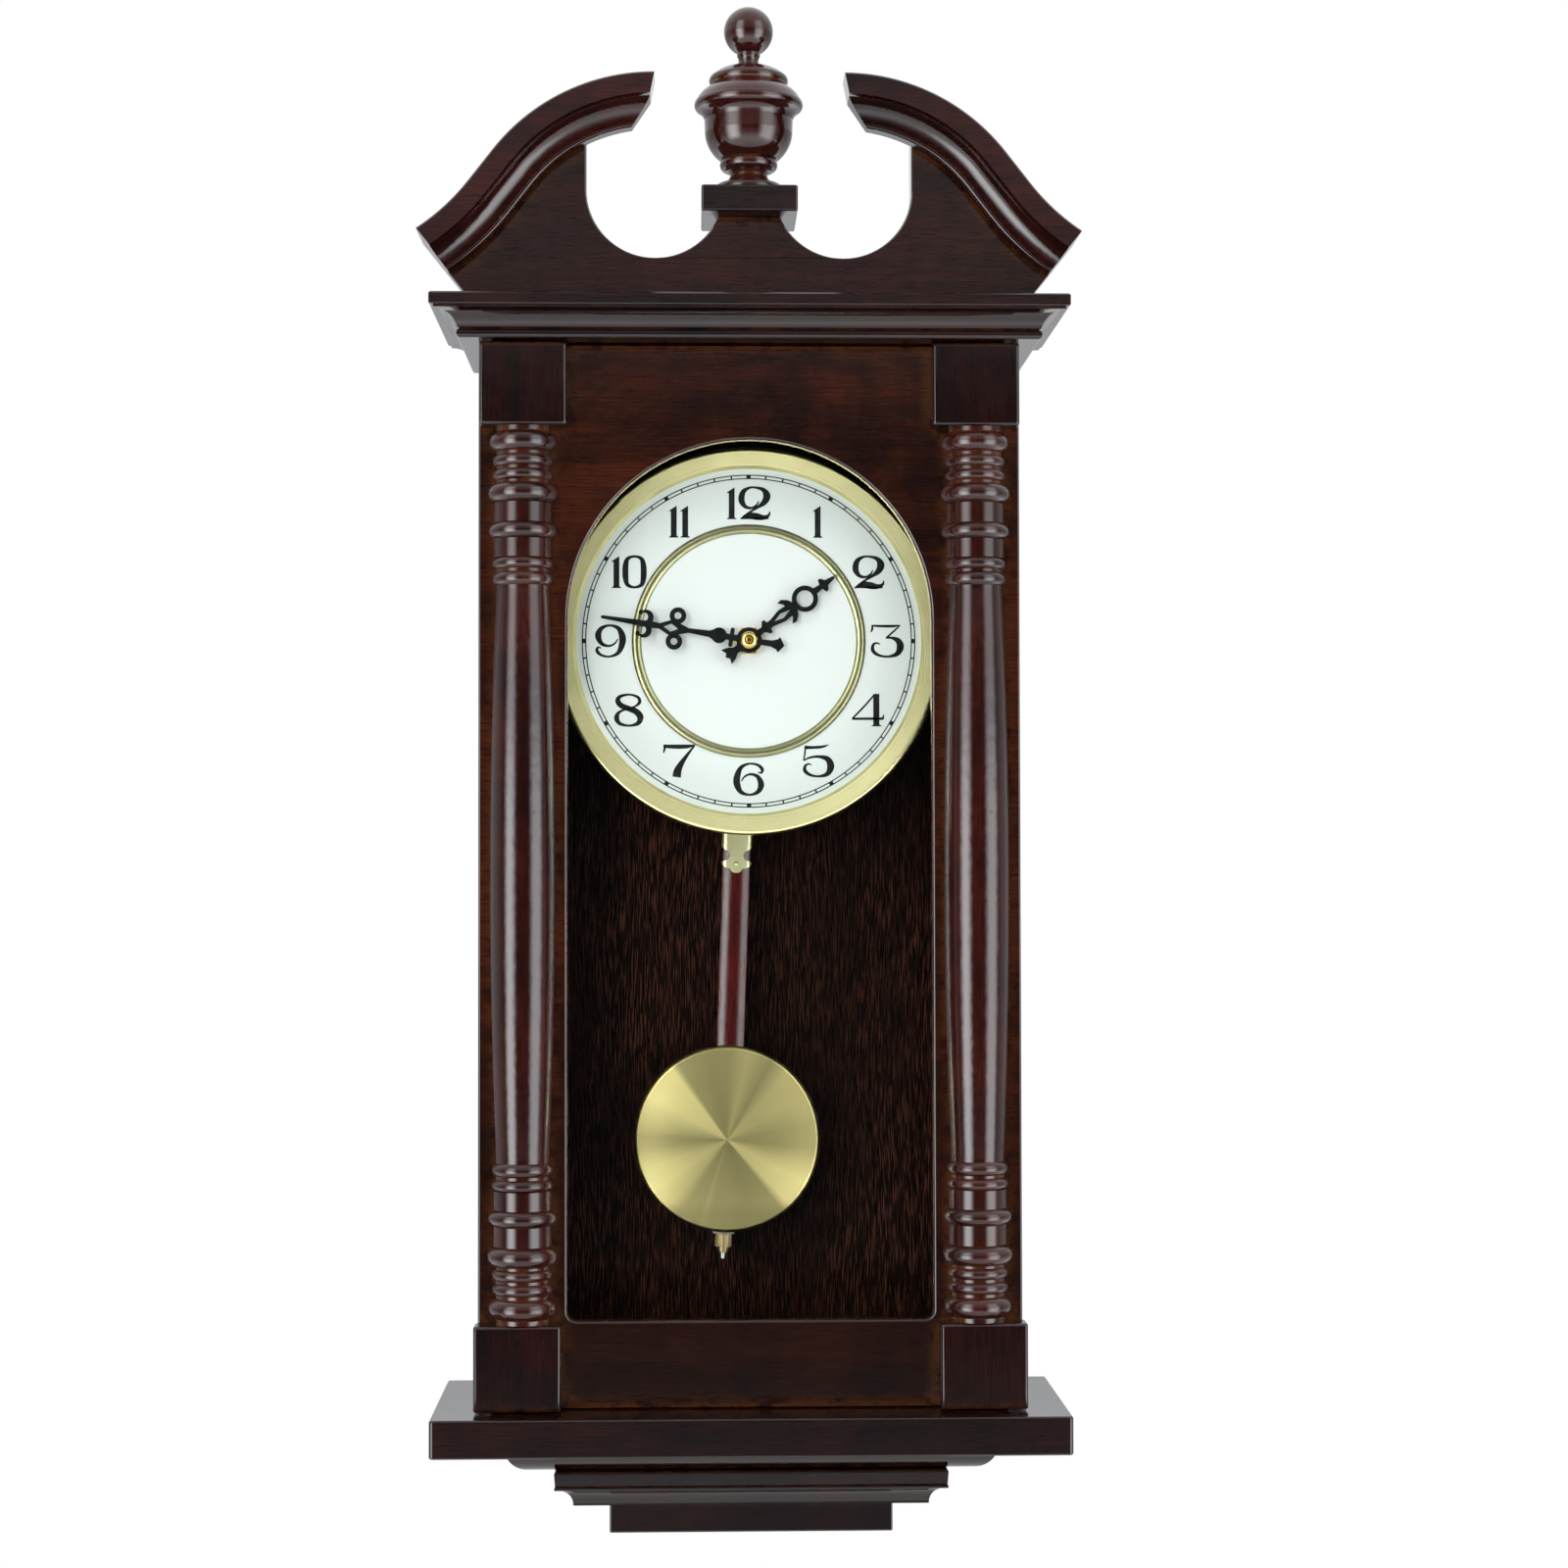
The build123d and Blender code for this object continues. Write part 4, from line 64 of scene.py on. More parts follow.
class Shader:
    """Short-hand for building the node tree of one material, or of the surroundings."""

    def __init__(self, name, world=None):
        self.owner = world or bpy.data.materials.new(name)
        self.owner.use_nodes = True
        self.tree = self.owner.node_tree
        self.tree.nodes.clear()
        self.place = self.add("ShaderNodeTexCoord").outputs["Generated" if world else "Object"]

    def add(self, kind, inputs=None, **settings):
        node = self.tree.nodes.new(kind)
        for key, value in settings.items():
            setattr(node, key, value)
        for key, value in (inputs or {}).items():
            self.put(node.inputs[key], value)
        return node

    def put(self, socket, value):
        if isinstance(value, bpy.types.NodeSocket):
            self.tree.links.new(value, socket)
        elif socket.type == "RGBA" and len(value) == 3:
            socket.default_value = (*value, 1.0)
        else:
            socket.default_value = value

    def stretched(self, scale, vector=None):
        """Texture place scaled axis by axis; a small share draws the texture out along that axis."""
        node = self.add("ShaderNodeMapping", {"Vector": vector or self.place, "Scale": scale})
        return node.outputs["Vector"]

    def noise(self, vector, scale, detail=3.0, roughness=0.55, distortion=0.0):
        node = self.add("ShaderNodeTexNoise", {
            "Vector": vector, "Scale": scale, "Detail": detail,
            "Roughness": roughness, "Distortion": distortion})
        return node.outputs["Fac"]

    def math(self, operation, a, b=0.0, clamp=False):
        node = self.add("ShaderNodeMath", operation=operation, use_clamp=clamp)
        self.put(node.inputs[0], a)
        self.put(node.inputs[1], b)
        return node.outputs["Value"]

    def vector(self, operation, a, b=(0, 0, 0), output="Vector"):
        node = self.add("ShaderNodeVectorMath", operation=operation)
        self.put(node.inputs[0], a)
        self.put(node.inputs[1], b)
        return node.outputs[output]

    def split(self, vector, axis):
        return self.add("ShaderNodeSeparateXYZ", {"Vector": vector}).outputs[axis]

    def along_x(self, value):
        return self.add("ShaderNodeCombineXYZ", {"X": value}).outputs["Vector"]

    def between(self, value, low, high, to_low=0.0, to_high=1.0):
        """Smooth step: to_low where the value is low or beyond, to_high where it is high or beyond."""
        node = self.add("ShaderNodeMapRange", {
            "Value": value, "From Min": low, "From Max": high,
            "To Min": to_low, "To Max": to_high}, interpolation_type="SMOOTHSTEP")
        return node.outputs["Result"]

    def mix(self, share, a, b, blend="MIX"):
        """Colour a turning into colour b by the share."""
        node = self.add("ShaderNodeMix", data_type="RGBA", blend_type=blend)
        self.put(node.inputs["Factor"], share)
        self.put(node.inputs["A"], a)
        self.put(node.inputs["B"], b)
        return node.outputs["Result"]

    def bump(self, height, distance, strength):
        node = self.add("ShaderNodeBump", {
            "Height": height, "Distance": distance, "Strength": strength})
        return node.outputs["Normal"]

    def crevice(self, reach):
        """1 deep in a corner, 0 in the open."""
        node = self.add("ShaderNodeAmbientOcclusion", {"Distance": reach}, samples=6)
        return self.math("SUBTRACT", 1.0, node.outputs["AO"], clamp=True)

    def finish(self, surface):
        output = self.add("ShaderNodeOutputMaterial")
        self.put(output.inputs["Surface"], surface)
        return self.owner

    def principled(self, **inputs):
        """Ends the tree in a principled surface; an underscore in an input's name stands for a space."""
        node = self.add("ShaderNodeBsdfPrincipled")
        for key, value in inputs.items():
            self.put(node.inputs[key.replace("_", " ")], value)
        return self.finish(node.outputs["BSDF"])


# ---------------------------------------------------------------- materials

# how the wood's figure is drawn out along the grain
ALONG = {"X": (0.045, 1, 1), "Z": (1, 1, 0.045)}
# heights between which the foot of the door frame darkens
DIM_FROM, DIM_TO = -0.28, -0.43


def shade(colour, share):
    """The colour scaled by a share, channel by channel."""
    return tuple(share * channel for channel in colour)


def lacquered_wood(name, deep, warm, golden, grain, glow, gloss=0.09, reach=0.010, ripple=1.0, seed=0.0,
                   dim=0.0):
    """Stained open-grain wood under a clear coat; the stain is rubbed thin and golden in corners.

    The stain runs from deep to warm. Glow is how golden the corners are and reach how far out of them
    it spreads, in metres; gloss is the coat's roughness, ripple its unevenness; seed shifts the figure;
    dim darkens the foot of the piece."""
    s = Shader(name)
    place = s.vector("ADD", s.place, (seed, seed * 0.7, seed * 1.3))
    lengthwise = s.stretched(ALONG[grain], place)
    bands = s.noise(lengthwise, 60, 5, 0.65, 1.2)
    fibre = s.noise(lengthwise, 1100, 3, 0.6)
    pores = s.between(s.noise(lengthwise, 2300, 2, 0.5), 0.58, 0.70)
    mottle = s.noise(place, 13, 6, 0.66, 0.5)
    blotch = s.noise(place, 90, 4, 0.65)
    tone = s.math("ADD", s.math("MULTIPLY", bands, 0.35), s.math("MULTIPLY", mottle, 0.65))
    colour = s.mix(s.between(tone, 0.36, 0.64), deep, warm)
    colour = s.mix(s.between(blotch, 0.5, 0.75, 0.0, 0.5), colour, deep)
    colour = s.mix(s.between(fibre, 0.35, 0.7, 0.0, 0.5), colour, shade(deep, 0.4))
    if dim:
        foot = s.between(s.split(s.place, "Z"), DIM_FROM, DIM_TO, 0.0, dim)
        colour = s.mix(foot, colour, shade(deep, 0.6))
    corner = s.between(s.crevice(reach), 0.12, 0.62)
    rubbed = s.math("MULTIPLY", corner, s.between(blotch, 0.36, 0.56))
    colour = s.mix(s.math("MULTIPLY", rubbed, glow, clamp=True), colour, golden)
    colour = s.mix(s.math("MULTIPLY", pores, 0.7), colour, shade(deep, 0.18))
    surface = s.math("SUBTRACT", s.math("MULTIPLY", fibre, 0.3), pores)
    haze = s.noise(place, 140, 3)
    skin = s.math("ADD", s.math("MULTIPLY", surface, 0.25), s.noise(place, 60, 2))
    return s.principled(
        Base_Color=colour,
        Roughness=s.between(haze, 0.3, 0.7, 0.42, 0.56),
        Specular_IOR_Level=0.0,
        Normal=s.bump(surface, 0.00005, 0.7),
        Coat_Weight=1.0,
        Coat_Roughness=s.between(haze, 0.25, 0.75, gloss * 0.8, gloss * 1.2),
        Coat_IOR=1.5,
        Coat_Normal=s.bump(skin, 0.00008 * ripple, 0.4),
    )


def streaked_board(name):
    """Near-black veneer board with open, reddish-brown vertical pores."""
    s = Shader(name)
    wander = s.noise(s.stretched((1, 1, 0.25)), 22, 3, 0.5)
    shifted = s.vector("ADD", s.place, s.along_x(s.math("MULTIPLY", wander, 0.012)))
    upright = s.stretched((1, 1, 0.05), shifted)
    dashes = s.between(s.noise(upright, 1700, 2, 0.5), 0.50, 0.64)
    fine = s.noise(upright, 1900, 2, 0.5)
    patches = s.between(s.noise(s.stretched((1, 1, 0.45)), 15, 3, 0.6), 0.30, 0.62, 0.25, 1.0)
    strength = s.math("MULTIPLY", dashes, s.math("MULTIPLY", patches, 0.75))
    ground = s.mix(s.between(fine, 0.35, 0.7), (0.0042, 0.0020, 0.0016), (0.0105, 0.0040, 0.0028))
    colour = s.mix(strength, ground, (0.082, 0.027, 0.0145))
    return s.principled(
        Base_Color=colour,
        Roughness=s.between(fine, 0.3, 0.7, 0.38, 0.52),
        Specular_IOR_Level=0.0,
        Normal=s.bump(s.math("SUBTRACT", 1.0, dashes), 0.00006, 0.6),
        Coat_Weight=0.3,
        Coat_Roughness=0.2,
    )


# heights below the middle of a domed disc between which its lower crescent turns dark with painted shade
SHADED_CRESCENT_FROM, SHADED_CRESCENT_TO = -0.029, -0.036
GROOVES = 2600


def brass(name, base, tint, rough, spin=None, aniso=0.75, painted_gleams=()):
    """Satin lacquered brass; spun round the depth axis through spin, if given, or plainly brushed.

    The metal clouds from base to tint. Painted gleams list, clockwise from 12 o'clock in degrees, how bright
    painted highlights and shade make the spun metal there; a disc with painted gleams is domed, with painted
    shade along its lower edge. Painted shade darkens the metal in its crevices."""
    s = Shader(name)
    cloud = s.noise(s.place, 38, 4, 0.6)
    speck = s.noise(s.place, 900, 2, 0.6)
    inputs = {}
    if spin is not None:
        out = s.vector("SUBTRACT", s.place, (spin.x, 0, spin.z))
        out = s.vector("MULTIPLY", out, (1, 0, 1))
        radius = s.vector("LENGTH", out, output="Value")
        brush = s.noise(s.along_x(radius), GROOVES, 2, 0.7)
        tangent = s.vector("NORMALIZE", s.vector("CROSS_PRODUCT", out, (0, 1, 0)))
        turned = s.add("ShaderNodeVectorTransform", {"Vector": tangent},
                       vector_type="VECTOR", convert_from="OBJECT", convert_to="WORLD")
        inputs = {"Anisotropic": aniso, "Tangent": turned.outputs["Vector"]}
    else:
        brush = s.noise(s.stretched((1, 1, 0.03)), GROOVES, 2, 0.7)
    colour = s.mix(s.between(cloud, 0.3, 0.7), base, tint)
    # painted highlights and shade: the colour is scaled by its bearing round the spin axis
    if painted_gleams:
        rise = s.split(out, "Z")
        bearing = s.math("ARCTAN2", s.split(out, "X"), rise)
        turn = s.math("ADD", s.math("DIVIDE", bearing, 2 * math.pi), 0.5)
        ramp = s.add("ShaderNodeValToRGB", {"Fac": turn})
        stops = ramp.color_ramp.elements
        for degrees, gleam in painted_gleams[1:-1]:
            stops.new(degrees / 360 + 0.5).color = (gleam, gleam, gleam, 1)
        for stop, (_, gleam) in ((stops[0], painted_gleams[0]), (stops[-1], painted_gleams[-1])):
            stop.color = (gleam, gleam, gleam, 1)
        colour = s.mix(1.0, colour, ramp.outputs["Color"], "MULTIPLY")
        # painted shade: the lower crescent of the domed disc darkens
        below = s.between(rise, SHADED_CRESCENT_FROM, SHADED_CRESCENT_TO, 0.0, 0.55)
        colour = s.mix(below, colour, shade(base, 0.25))
    # painted shade: the metal darkens towards a deep tint in its crevices
    colour = s.mix(s.between(s.crevice(0.003), 0.35, 0.95, 0.0, 0.6), colour, shade(tint, 0.35))
    return s.principled(
        Base_Color=colour,
        Metallic=1.0,
        Roughness=s.between(s.math("ADD", brush, s.math("MULTIPLY", speck, 0.4)), 0.4, 1.0,
                            rough * 0.85, rough * 1.2),
        Normal=s.bump(brush, 0.000006, 0.5),
        Coat_Weight=0.15,
        Coat_Roughness=0.12,
        **inputs,
    )


def metal(name, base, rough, brushed=(1, 1, 0.04), scale=1500):
    """Plated or sintered metal with brushing, dull spots and painted shade darkening its corners."""
    s = Shader(name)
    brush = s.noise(s.stretched(brushed), scale, 3, 0.65)
    cloud = s.noise(s.place, 130, 4, 0.6)
    colour = s.mix(s.between(cloud, 0.35, 0.75, 0.0, 0.3), base, shade(base, 0.55))
    # painted shade: darker in crevices
    colour = s.mix(s.between(s.crevice(0.002), 0.3, 0.95, 0.0, 0.7), colour, shade(base, 0.3))
    return s.principled(
        Base_Color=colour,
        Metallic=1.0,
        Roughness=s.between(s.math("ADD", brush, cloud), 0.7, 1.3, rough * 0.8, rough * 1.25),
        Normal=s.bump(brush, 0.00001, 0.6),
    )


def moulded(name, base, rough, texture=1400, depth=0.00002, light=None, subsurface=0.0):
    """Injection-moulded plastic: spark texture, faint flow marks, paler rubbed spots."""
    s = Shader(name)
    grain = s.noise(s.place, texture, 2, 0.6)
    flow = s.noise(s.stretched((1, 1, 0.35)), 60, 3, 0.5)
    colour = s.mix(s.between(flow, 0.3, 0.75, 0.0, 0.5), base, light or shade(base, 1.5))
    # painted shade: darker in crevices
    colour = s.mix(s.between(s.crevice(0.0025), 0.3, 0.9, 0.0, 0.6), colour, shade(base, 0.5))
    return s.principled(
        Base_Color=colour,
        Roughness=s.between(flow, 0.3, 0.7, rough * 0.85, rough * 1.2),
        Normal=s.bump(grain, depth, 0.8),
        Subsurface_Weight=subsurface,
        Subsurface_Radius=(0.002, 0.002, 0.0015),
    )


# radii between which the enamel turns from white to its rim colour
WHITE_RADIUS, RIM_RADIUS = 48 * MM, 82 * MM


def enamel(name):
    """White dial, darker and faintly blue-green towards the rim, with a fine orange peel."""
    s = Shader(name)
    out = s.vector("MULTIPLY", s.vector("SUBTRACT", s.place, tuple(DIAL_CENTRE)), (1, 0, 1))
    radius = s.vector("LENGTH", out, output="Value")
    rim = s.between(radius, WHITE_RADIUS, RIM_RADIUS)
    peel = s.noise(s.place, 700, 2, 0.5)
    cloud = s.noise(s.place, 20, 3, 0.5)
    colour = s.mix(rim, (0.745, 0.765, 0.76), (0.63, 0.67, 0.645))
    colour = s.mix(s.between(cloud, 0.3, 0.7, 0.0, 0.10), colour, (0.68, 0.72, 0.71))
    return s.principled(
        Base_Color=colour,
        Roughness=s.between(cloud, 0.3, 0.7, 0.30, 0.36),
        Normal=s.bump(peel, 0.00001, 0.5),
        Coat_Weight=0.3,
        Coat_Roughness=0.12,
    )


def ink(name, base, rough):
    """Black paint or printing ink with a slightly uneven body."""
    s = Shader(name)
    body = s.noise(s.place, 1600, 3, 0.6)
    return s.principled(
        Base_Color=s.mix(s.between(body, 0.3, 0.7), base, shade(base, 2.2)),
        Roughness=s.between(body, 0.3, 0.7, rough * 0.85, rough * 1.2),
        Specular_IOR_Level=0.2,
        Normal=s.bump(body, 0.000015, 0.5),
    )


GLASS_IOR = 1.45
# share of the full reflection that the thin pane keeps
GLASS_SHEEN = 0.22


def clear_glass(name):
    """Thin float glass: mostly see-through, reflecting by the viewing angle, with faint smears."""
    s = Shader(name)
    smear = s.noise(s.stretched((1, 1, 0.4)), 28, 4, 0.6)
    sheen = s.add("ShaderNodeBsdfGlossy", {
        "Color": (0.95, 1.0, 0.98), "Roughness": s.between(smear, 0.4, 0.75, 0.01, 0.06)})
    through = s.add("ShaderNodeBsdfTransparent", {"Color": (0.965, 0.98, 0.972)})
    mirror = s.add("ShaderNodeFresnel", {"IOR": GLASS_IOR})
    share = s.math("MULTIPLY", mirror.outputs["Fac"], GLASS_SHEEN, clamp=True)
    mixed = s.add("ShaderNodeMixShader", {0: share, 1: through.outputs["BSDF"], 2: sheen.outputs["BSDF"]})
    return s.finish(mixed.outputs["Shader"])


# height of the seam between the two bands of a cell, as a share of its length, and its softness
JACKET_SEAM = 0.68
JACKET_BLUR = 0.4 * MM


def printed_jacket(name):
    """Battery jacket in two plain bands with a satin shrink film."""
    s = Shader(name)
    foot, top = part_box("batteries")
    seam = foot.z + JACKET_SEAM * (top.z - foot.z)
    ripple = s.noise(s.place, 500, 2, 0.5)
    height = s.math("ADD", s.split(s.place, "Z"), s.math("MULTIPLY", ripple, 0.0002))
    upper = s.between(height, seam, seam + JACKET_BLUR)
    return s.principled(
        Base_Color=s.mix(upper, (0.022, 0.025, 0.03), (0.55, 0.33, 0.12)),
        Metallic=s.between(upper, 0.0, 1.0, 0.0, 0.9),
        Roughness=s.between(ripple, 0.3, 0.7, 0.22, 0.34),
        Normal=s.bump(ripple, 0.00002, 0.4),
    )


def wound_copper(name):
    """Fine enamelled wire wound round a bobbin."""
    s = Shader(name)
    turns = s.add("ShaderNodeTexWave", {"Vector": s.place, "Scale": 1100.0, "Distortion": 0.6},
                  wave_type="BANDS", bands_direction="X").outputs["Fac"]
    return s.principled(
        Base_Color=s.mix(turns, (0.20, 0.055, 0.02), (0.72, 0.27, 0.10)),
        Metallic=0.9,
        Roughness=s.between(turns, 0.0, 1.0, 0.45, 0.28),
        Normal=s.bump(turns, 0.00005, 0.8),
    )


def solder_mask(name):
    """Green circuit board with faint copper tracks under the mask."""
    s = Shader(name)
    upright = s.add("ShaderNodeVectorRotate", {"Vector": s.place, "Angle": math.pi / 2},
                    rotation_type="X_AXIS").outputs["Vector"]
    tracks = s.add("ShaderNodeTexBrick", {
        "Vector": upright, "Scale": 160.0, "Mortar Size": 0.03, "Mortar Smooth": 0.2}).outputs["Fac"]
    speck = s.noise(s.place, 600, 2)
    return s.principled(
        Base_Color=s.mix(tracks, (0.012, 0.10, 0.035), (0.03, 0.21, 0.06)),
        Roughness=s.between(speck, 0.3, 0.7, 0.28, 0.4),
        Normal=s.bump(tracks, 0.00004, 0.6),
        Coat_Weight=0.4,
        Coat_Roughness=0.2,
    )


# stains of the case and the golden tone of the wood where a stain is rubbed thin
DEEP = (0.0040, 0.0015, 0.0016)
WARM = (0.0165, 0.0034, 0.0030)
GOLDEN = (0.085, 0.028, 0.0070)

dark_x = lacquered_wood("dark_wood_x", DEEP, WARM, GOLDEN, "X", glow=0.35)
dark_z = lacquered_wood("dark_wood_z", DEEP, WARM, GOLDEN, "Z", glow=0.35, seed=0.37)
panel_x = lacquered_wood(
    "panel_wood_x", (0.0085, 0.0024, 0.0016), (0.050, 0.0108, 0.0042), GOLDEN, "X",
    glow=0.75, seed=0.11, dim=0.7)
gable_wood = lacquered_wood(
    "gable_wood", (0.007, 0.002, 0.0016), (0.026, 0.0055, 0.0034), GOLDEN, "X",
    glow=0.6, seed=0.53)
neck_wood = lacquered_wood(
    "neck_wood", (0.008, 0.002, 0.0018), (0.034, 0.0055, 0.0042), GOLDEN, "X",
    glow=0.4, gloss=0.12, ripple=0.3, seed=0.61)
turned_wood = lacquered_wood(
    "turned_wood", (0.0110, 0.0024, 0.0020), (0.042, 0.0070, 0.0042), (0.10, 0.030, 0.0085), "Z",
    glow=1.0, gloss=0.12, reach=0.005, ripple=0.2, seed=0.83)
rod_wood = lacquered_wood(
    "rod_wood", (0.040, 0.0045, 0.0042), (0.105, 0.0095, 0.0085), (0.15, 0.02, 0.012), "Z",
    glow=0.2, gloss=0.17, ripple=0.5, seed=0.29)
steel = metal("plated_steel", (0.56, 0.56, 0.54), 0.3)
acetal = moulded("acetal", (0.80, 0.77, 0.68), 0.4, subsurface=0.15, light=(0.88, 0.86, 0.79))
black_moulding = moulded("black_moulding", (0.022, 0.022, 0.024), 0.5, texture=1100, depth=0.00004)
gloss_moulding = moulded("gloss_moulding", (0.03, 0.03, 0.033), 0.28)
dial_brass = brass(
    "bezel_brass", base=(0.96, 0.86, 0.44), tint=(0.87, 0.77, 0.39), rough=0.30, spin=DIAL_CENTRE)
# painted highlights and shade of the bob's spun face: degrees clockwise from 12 o'clock, brightness
BOB_PAINTED_GLEAMS = (
    (-180, 0.36), (-167, 0.37), (-163, 0.44), (-159, 0.36), (-148, 0.38), (-138, 0.58), (-124, 0.74),
    (-110, 0.70), (-95, 0.46), (-88, 0.44), (-76, 0.66), (-60, 0.96), (-38, 1.00), (-33, 0.48),
    (-12, 0.42), (2, 0.46), (14, 0.66), (22, 0.56), (30, 0.46), (42, 0.78), (60, 0.76), (80, 0.56),
    (96, 0.54), (108, 0.76), (120, 0.92), (136, 0.84), (142, 0.38), (162, 0.34), (180, 0.36),
)
bob_brass = brass(
    "bob_brass", base=(0.98, 0.82, 0.35), tint=(0.92, 0.76, 0.32), rough=0.36,
    spin=BOB_CENTRE, aniso=0.2, painted_gleams=BOB_PAINTED_GLEAMS)
plain_brass = brass("plain_brass", base=(0.86, 0.76, 0.44), tint=(0.80, 0.70, 0.38), rough=0.30)
satin_brass = brass("satin_brass", base=(0.78, 0.74, 0.42), tint=(0.72, 0.68, 0.38), rough=0.42)
dull_brass = brass("dull_brass", base=(0.36, 0.27, 0.13), tint=(0.30, 0.22, 0.10), rough=0.45)
ring_brass = brass(
    "ring_brass", base=(0.38, 0.36, 0.20), tint=(0.31, 0.30, 0.16), rough=0.32,
    spin=DIAL_CENTRE, aniso=0.2)
nut_brass = brass(
    "nut_brass", base=(0.90, 0.66, 0.22), tint=(0.85, 0.60, 0.18), rough=0.16,
    spin=DIAL_CENTRE, aniso=0.3)
hand_black = ink("hand_black", base=(0.003, 0.0033, 0.0034), rough=0.38)
printing_ink = ink("printing_ink", base=(0.003, 0.0034, 0.0034), rough=0.5)
ferrite = metal("ferrite", (0.10, 0.10, 0.11), 0.55, brushed=(1, 1, 1), scale=900)

MATERIALS = {
    "back_panel": streaked_board("streaked_board"), "dial_board": streaked_board("dial_board_veneer"),
    "side_left": dark_z, "side_right": dark_z, "cornice_board": dark_x, "base_board": dark_x,
    "base_step_upper": dark_x, "base_step_lower": dark_x, "base_block": dark_x, "tympanum": gable_wood,
    "swan_neck_left": neck_wood, "swan_neck_right": neck_wood, "finial_plinth": dark_x,
    "finial": turned_wood, "hinge_case_leaves": plain_brass, "hinge_pins": plain_brass,
    "hinge_door_leaves": plain_brass, "case_screws": steel, "door_screws": steel, "catch_magnet": ferrite,
    "hanger_plate": steel, "dial_plate": enamel("enamel"), "dial_bezel": dial_brass, "dial_ring": ring_brass,
    "dial_nut": nut_brass, "movement_case_front": black_moulding, "movement_case_back": black_moulding,
    "batteries": printed_jacket("cell_jacket"), "circuit_board": solder_mask("solder_mask"),
    "speaker": moulded("cone_paper", (0.03, 0.03, 0.03), 0.7, texture=500, depth=0.0001),
    "motor_coil": wound_copper("wound_copper"), "motor_stator": steel,
    "door_frame": panel_x, "block_top_left": dark_z, "block_top_right": dark_z,
    "block_bottom_left": dark_z, "block_bottom_right": dark_z, "column_left": turned_wood,
    "column_right": turned_wood, "door_glass": clear_glass("clear_glass"), "glass_retainer": black_moulding,
    "minute_arbor": steel, "minute_hand": hand_black, "hour_hand": hand_black, "hand_nut": nut_brass,
    "hour_wheel": acetal, "minute_wheel": acetal, "set_knob": gloss_moulding, "centre_wheel": acetal,
    "second_wheel": acetal, "first_wheel": acetal, "rotor": ferrite, "pendulum_arm": steel,
    "pendulum_bracket": satin_brass, "pendulum_rod": rod_wood, "rating_stem": steel, "bob": bob_brass,
    "bob_back": metal("dull_steel", (0.42, 0.42, 0.40), 0.4), "rating_nut": dull_brass,
    "switch_slider": gloss_moulding,
}
for node, material in MATERIALS.items():
    NODES[node].data.materials.clear()
    NODES[node].data.materials.append(material)

# eased edges, which catch the light on every board and fitting that is cut square; widths in millimetres
EASED = {
    0.7: ["side_left", "side_right", "cornice_board", "base_step_upper", "base_step_lower", "base_block",
          "tympanum", "swan_neck_left", "swan_neck_right", "finial_plinth", "door_frame"],
    0.9: ["base_board", "block_top_left", "block_top_right", "block_bottom_left", "block_bottom_right"],
    0.3: ["hanger_plate", "movement_case_front", "movement_case_back", "pendulum_arm", "glass_retainer",
          "catch_magnet", "switch_slider"],
    0.12: ["minute_hand", "hour_hand", "pendulum_bracket", "hinge_case_leaves", "hinge_door_leaves",
           "dial_nut"],
}
# points closer than this are one point, and only folds sharper than this are eased
WELD_DISTANCE = 1e-6
SHARP_FOLD = math.radians(35)
for width, names in EASED.items():
    for node in names:
        piece = NODES[node]
        weld = piece.modifiers.new("weld", "WELD")
        weld.merge_threshold = WELD_DISTANCE
        bevel = piece.modifiers.new("eased", "BEVEL")
        bevel.width = width * MM
        bevel.segments = 2
        bevel.limit_method = "ANGLE"
        bevel.angle_limit = SHARP_FOLD
        even = piece.modifiers.new("even", "WEIGHTED_NORMAL")
        even.weight = 100
        even.keep_sharp = True


# ---------------------------------------------------------------- printed dial

INK_THICKNESS = 0.05 * MM


def dial_point(x, height, lift):
    """Point on the dial, in millimetres from its middle, lifted towards the viewer."""
    return Vector((DIAL_CENTRE.x + x * MM, DIAL_FRONT_Y - lift, DIAL_CENTRE.z + height * MM))


def prism(mesh, outline):
    """Thin printed shape with the given outline, in millimetres from the dial's middle."""
    fronts = [mesh.verts.new(dial_point(x, h, INK_THICKNESS)) for x, h in outline]
    backs = [mesh.verts.new(dial_point(x, h, 0.0)) for x, h in outline]
    mesh.faces.new(fronts)
    mesh.faces.new(list(reversed(backs)))
    count = len(outline)
    for i in range(count):
        j = (i + 1) % count
        mesh.faces.new((fronts[j], fronts[i], backs[i], backs[j]))


def band(mesh, left, right, closed):
    """Printed band between two rows of points."""
    rows = []
    for edge in (left, right):
        rows.append([mesh.verts.new(dial_point(x, h, INK_THICKNESS)) for x, h in edge])
        rows.append([mesh.verts.new(dial_point(x, h, 0.0)) for x, h in edge])
    left_front, left_back, right_front, right_back = rows
    count = len(left)
    for i in range(count if closed else count - 1):
        j = (i + 1) % count
        mesh.faces.new((left_front[i], left_front[j], right_front[j], right_front[i]))
        mesh.faces.new((right_back[i], right_back[j], left_back[j], left_back[i]))
        mesh.faces.new((left_back[i], left_back[j], left_front[j], left_front[i]))
        mesh.faces.new((right_front[i], right_front[j], right_back[j], right_back[i]))
    if not closed:
        mesh.faces.new((left_front[0], right_front[0], right_back[0], left_back[0]))
        mesh.faces.new((left_front[-1], left_back[-1], right_back[-1], right_front[-1]))


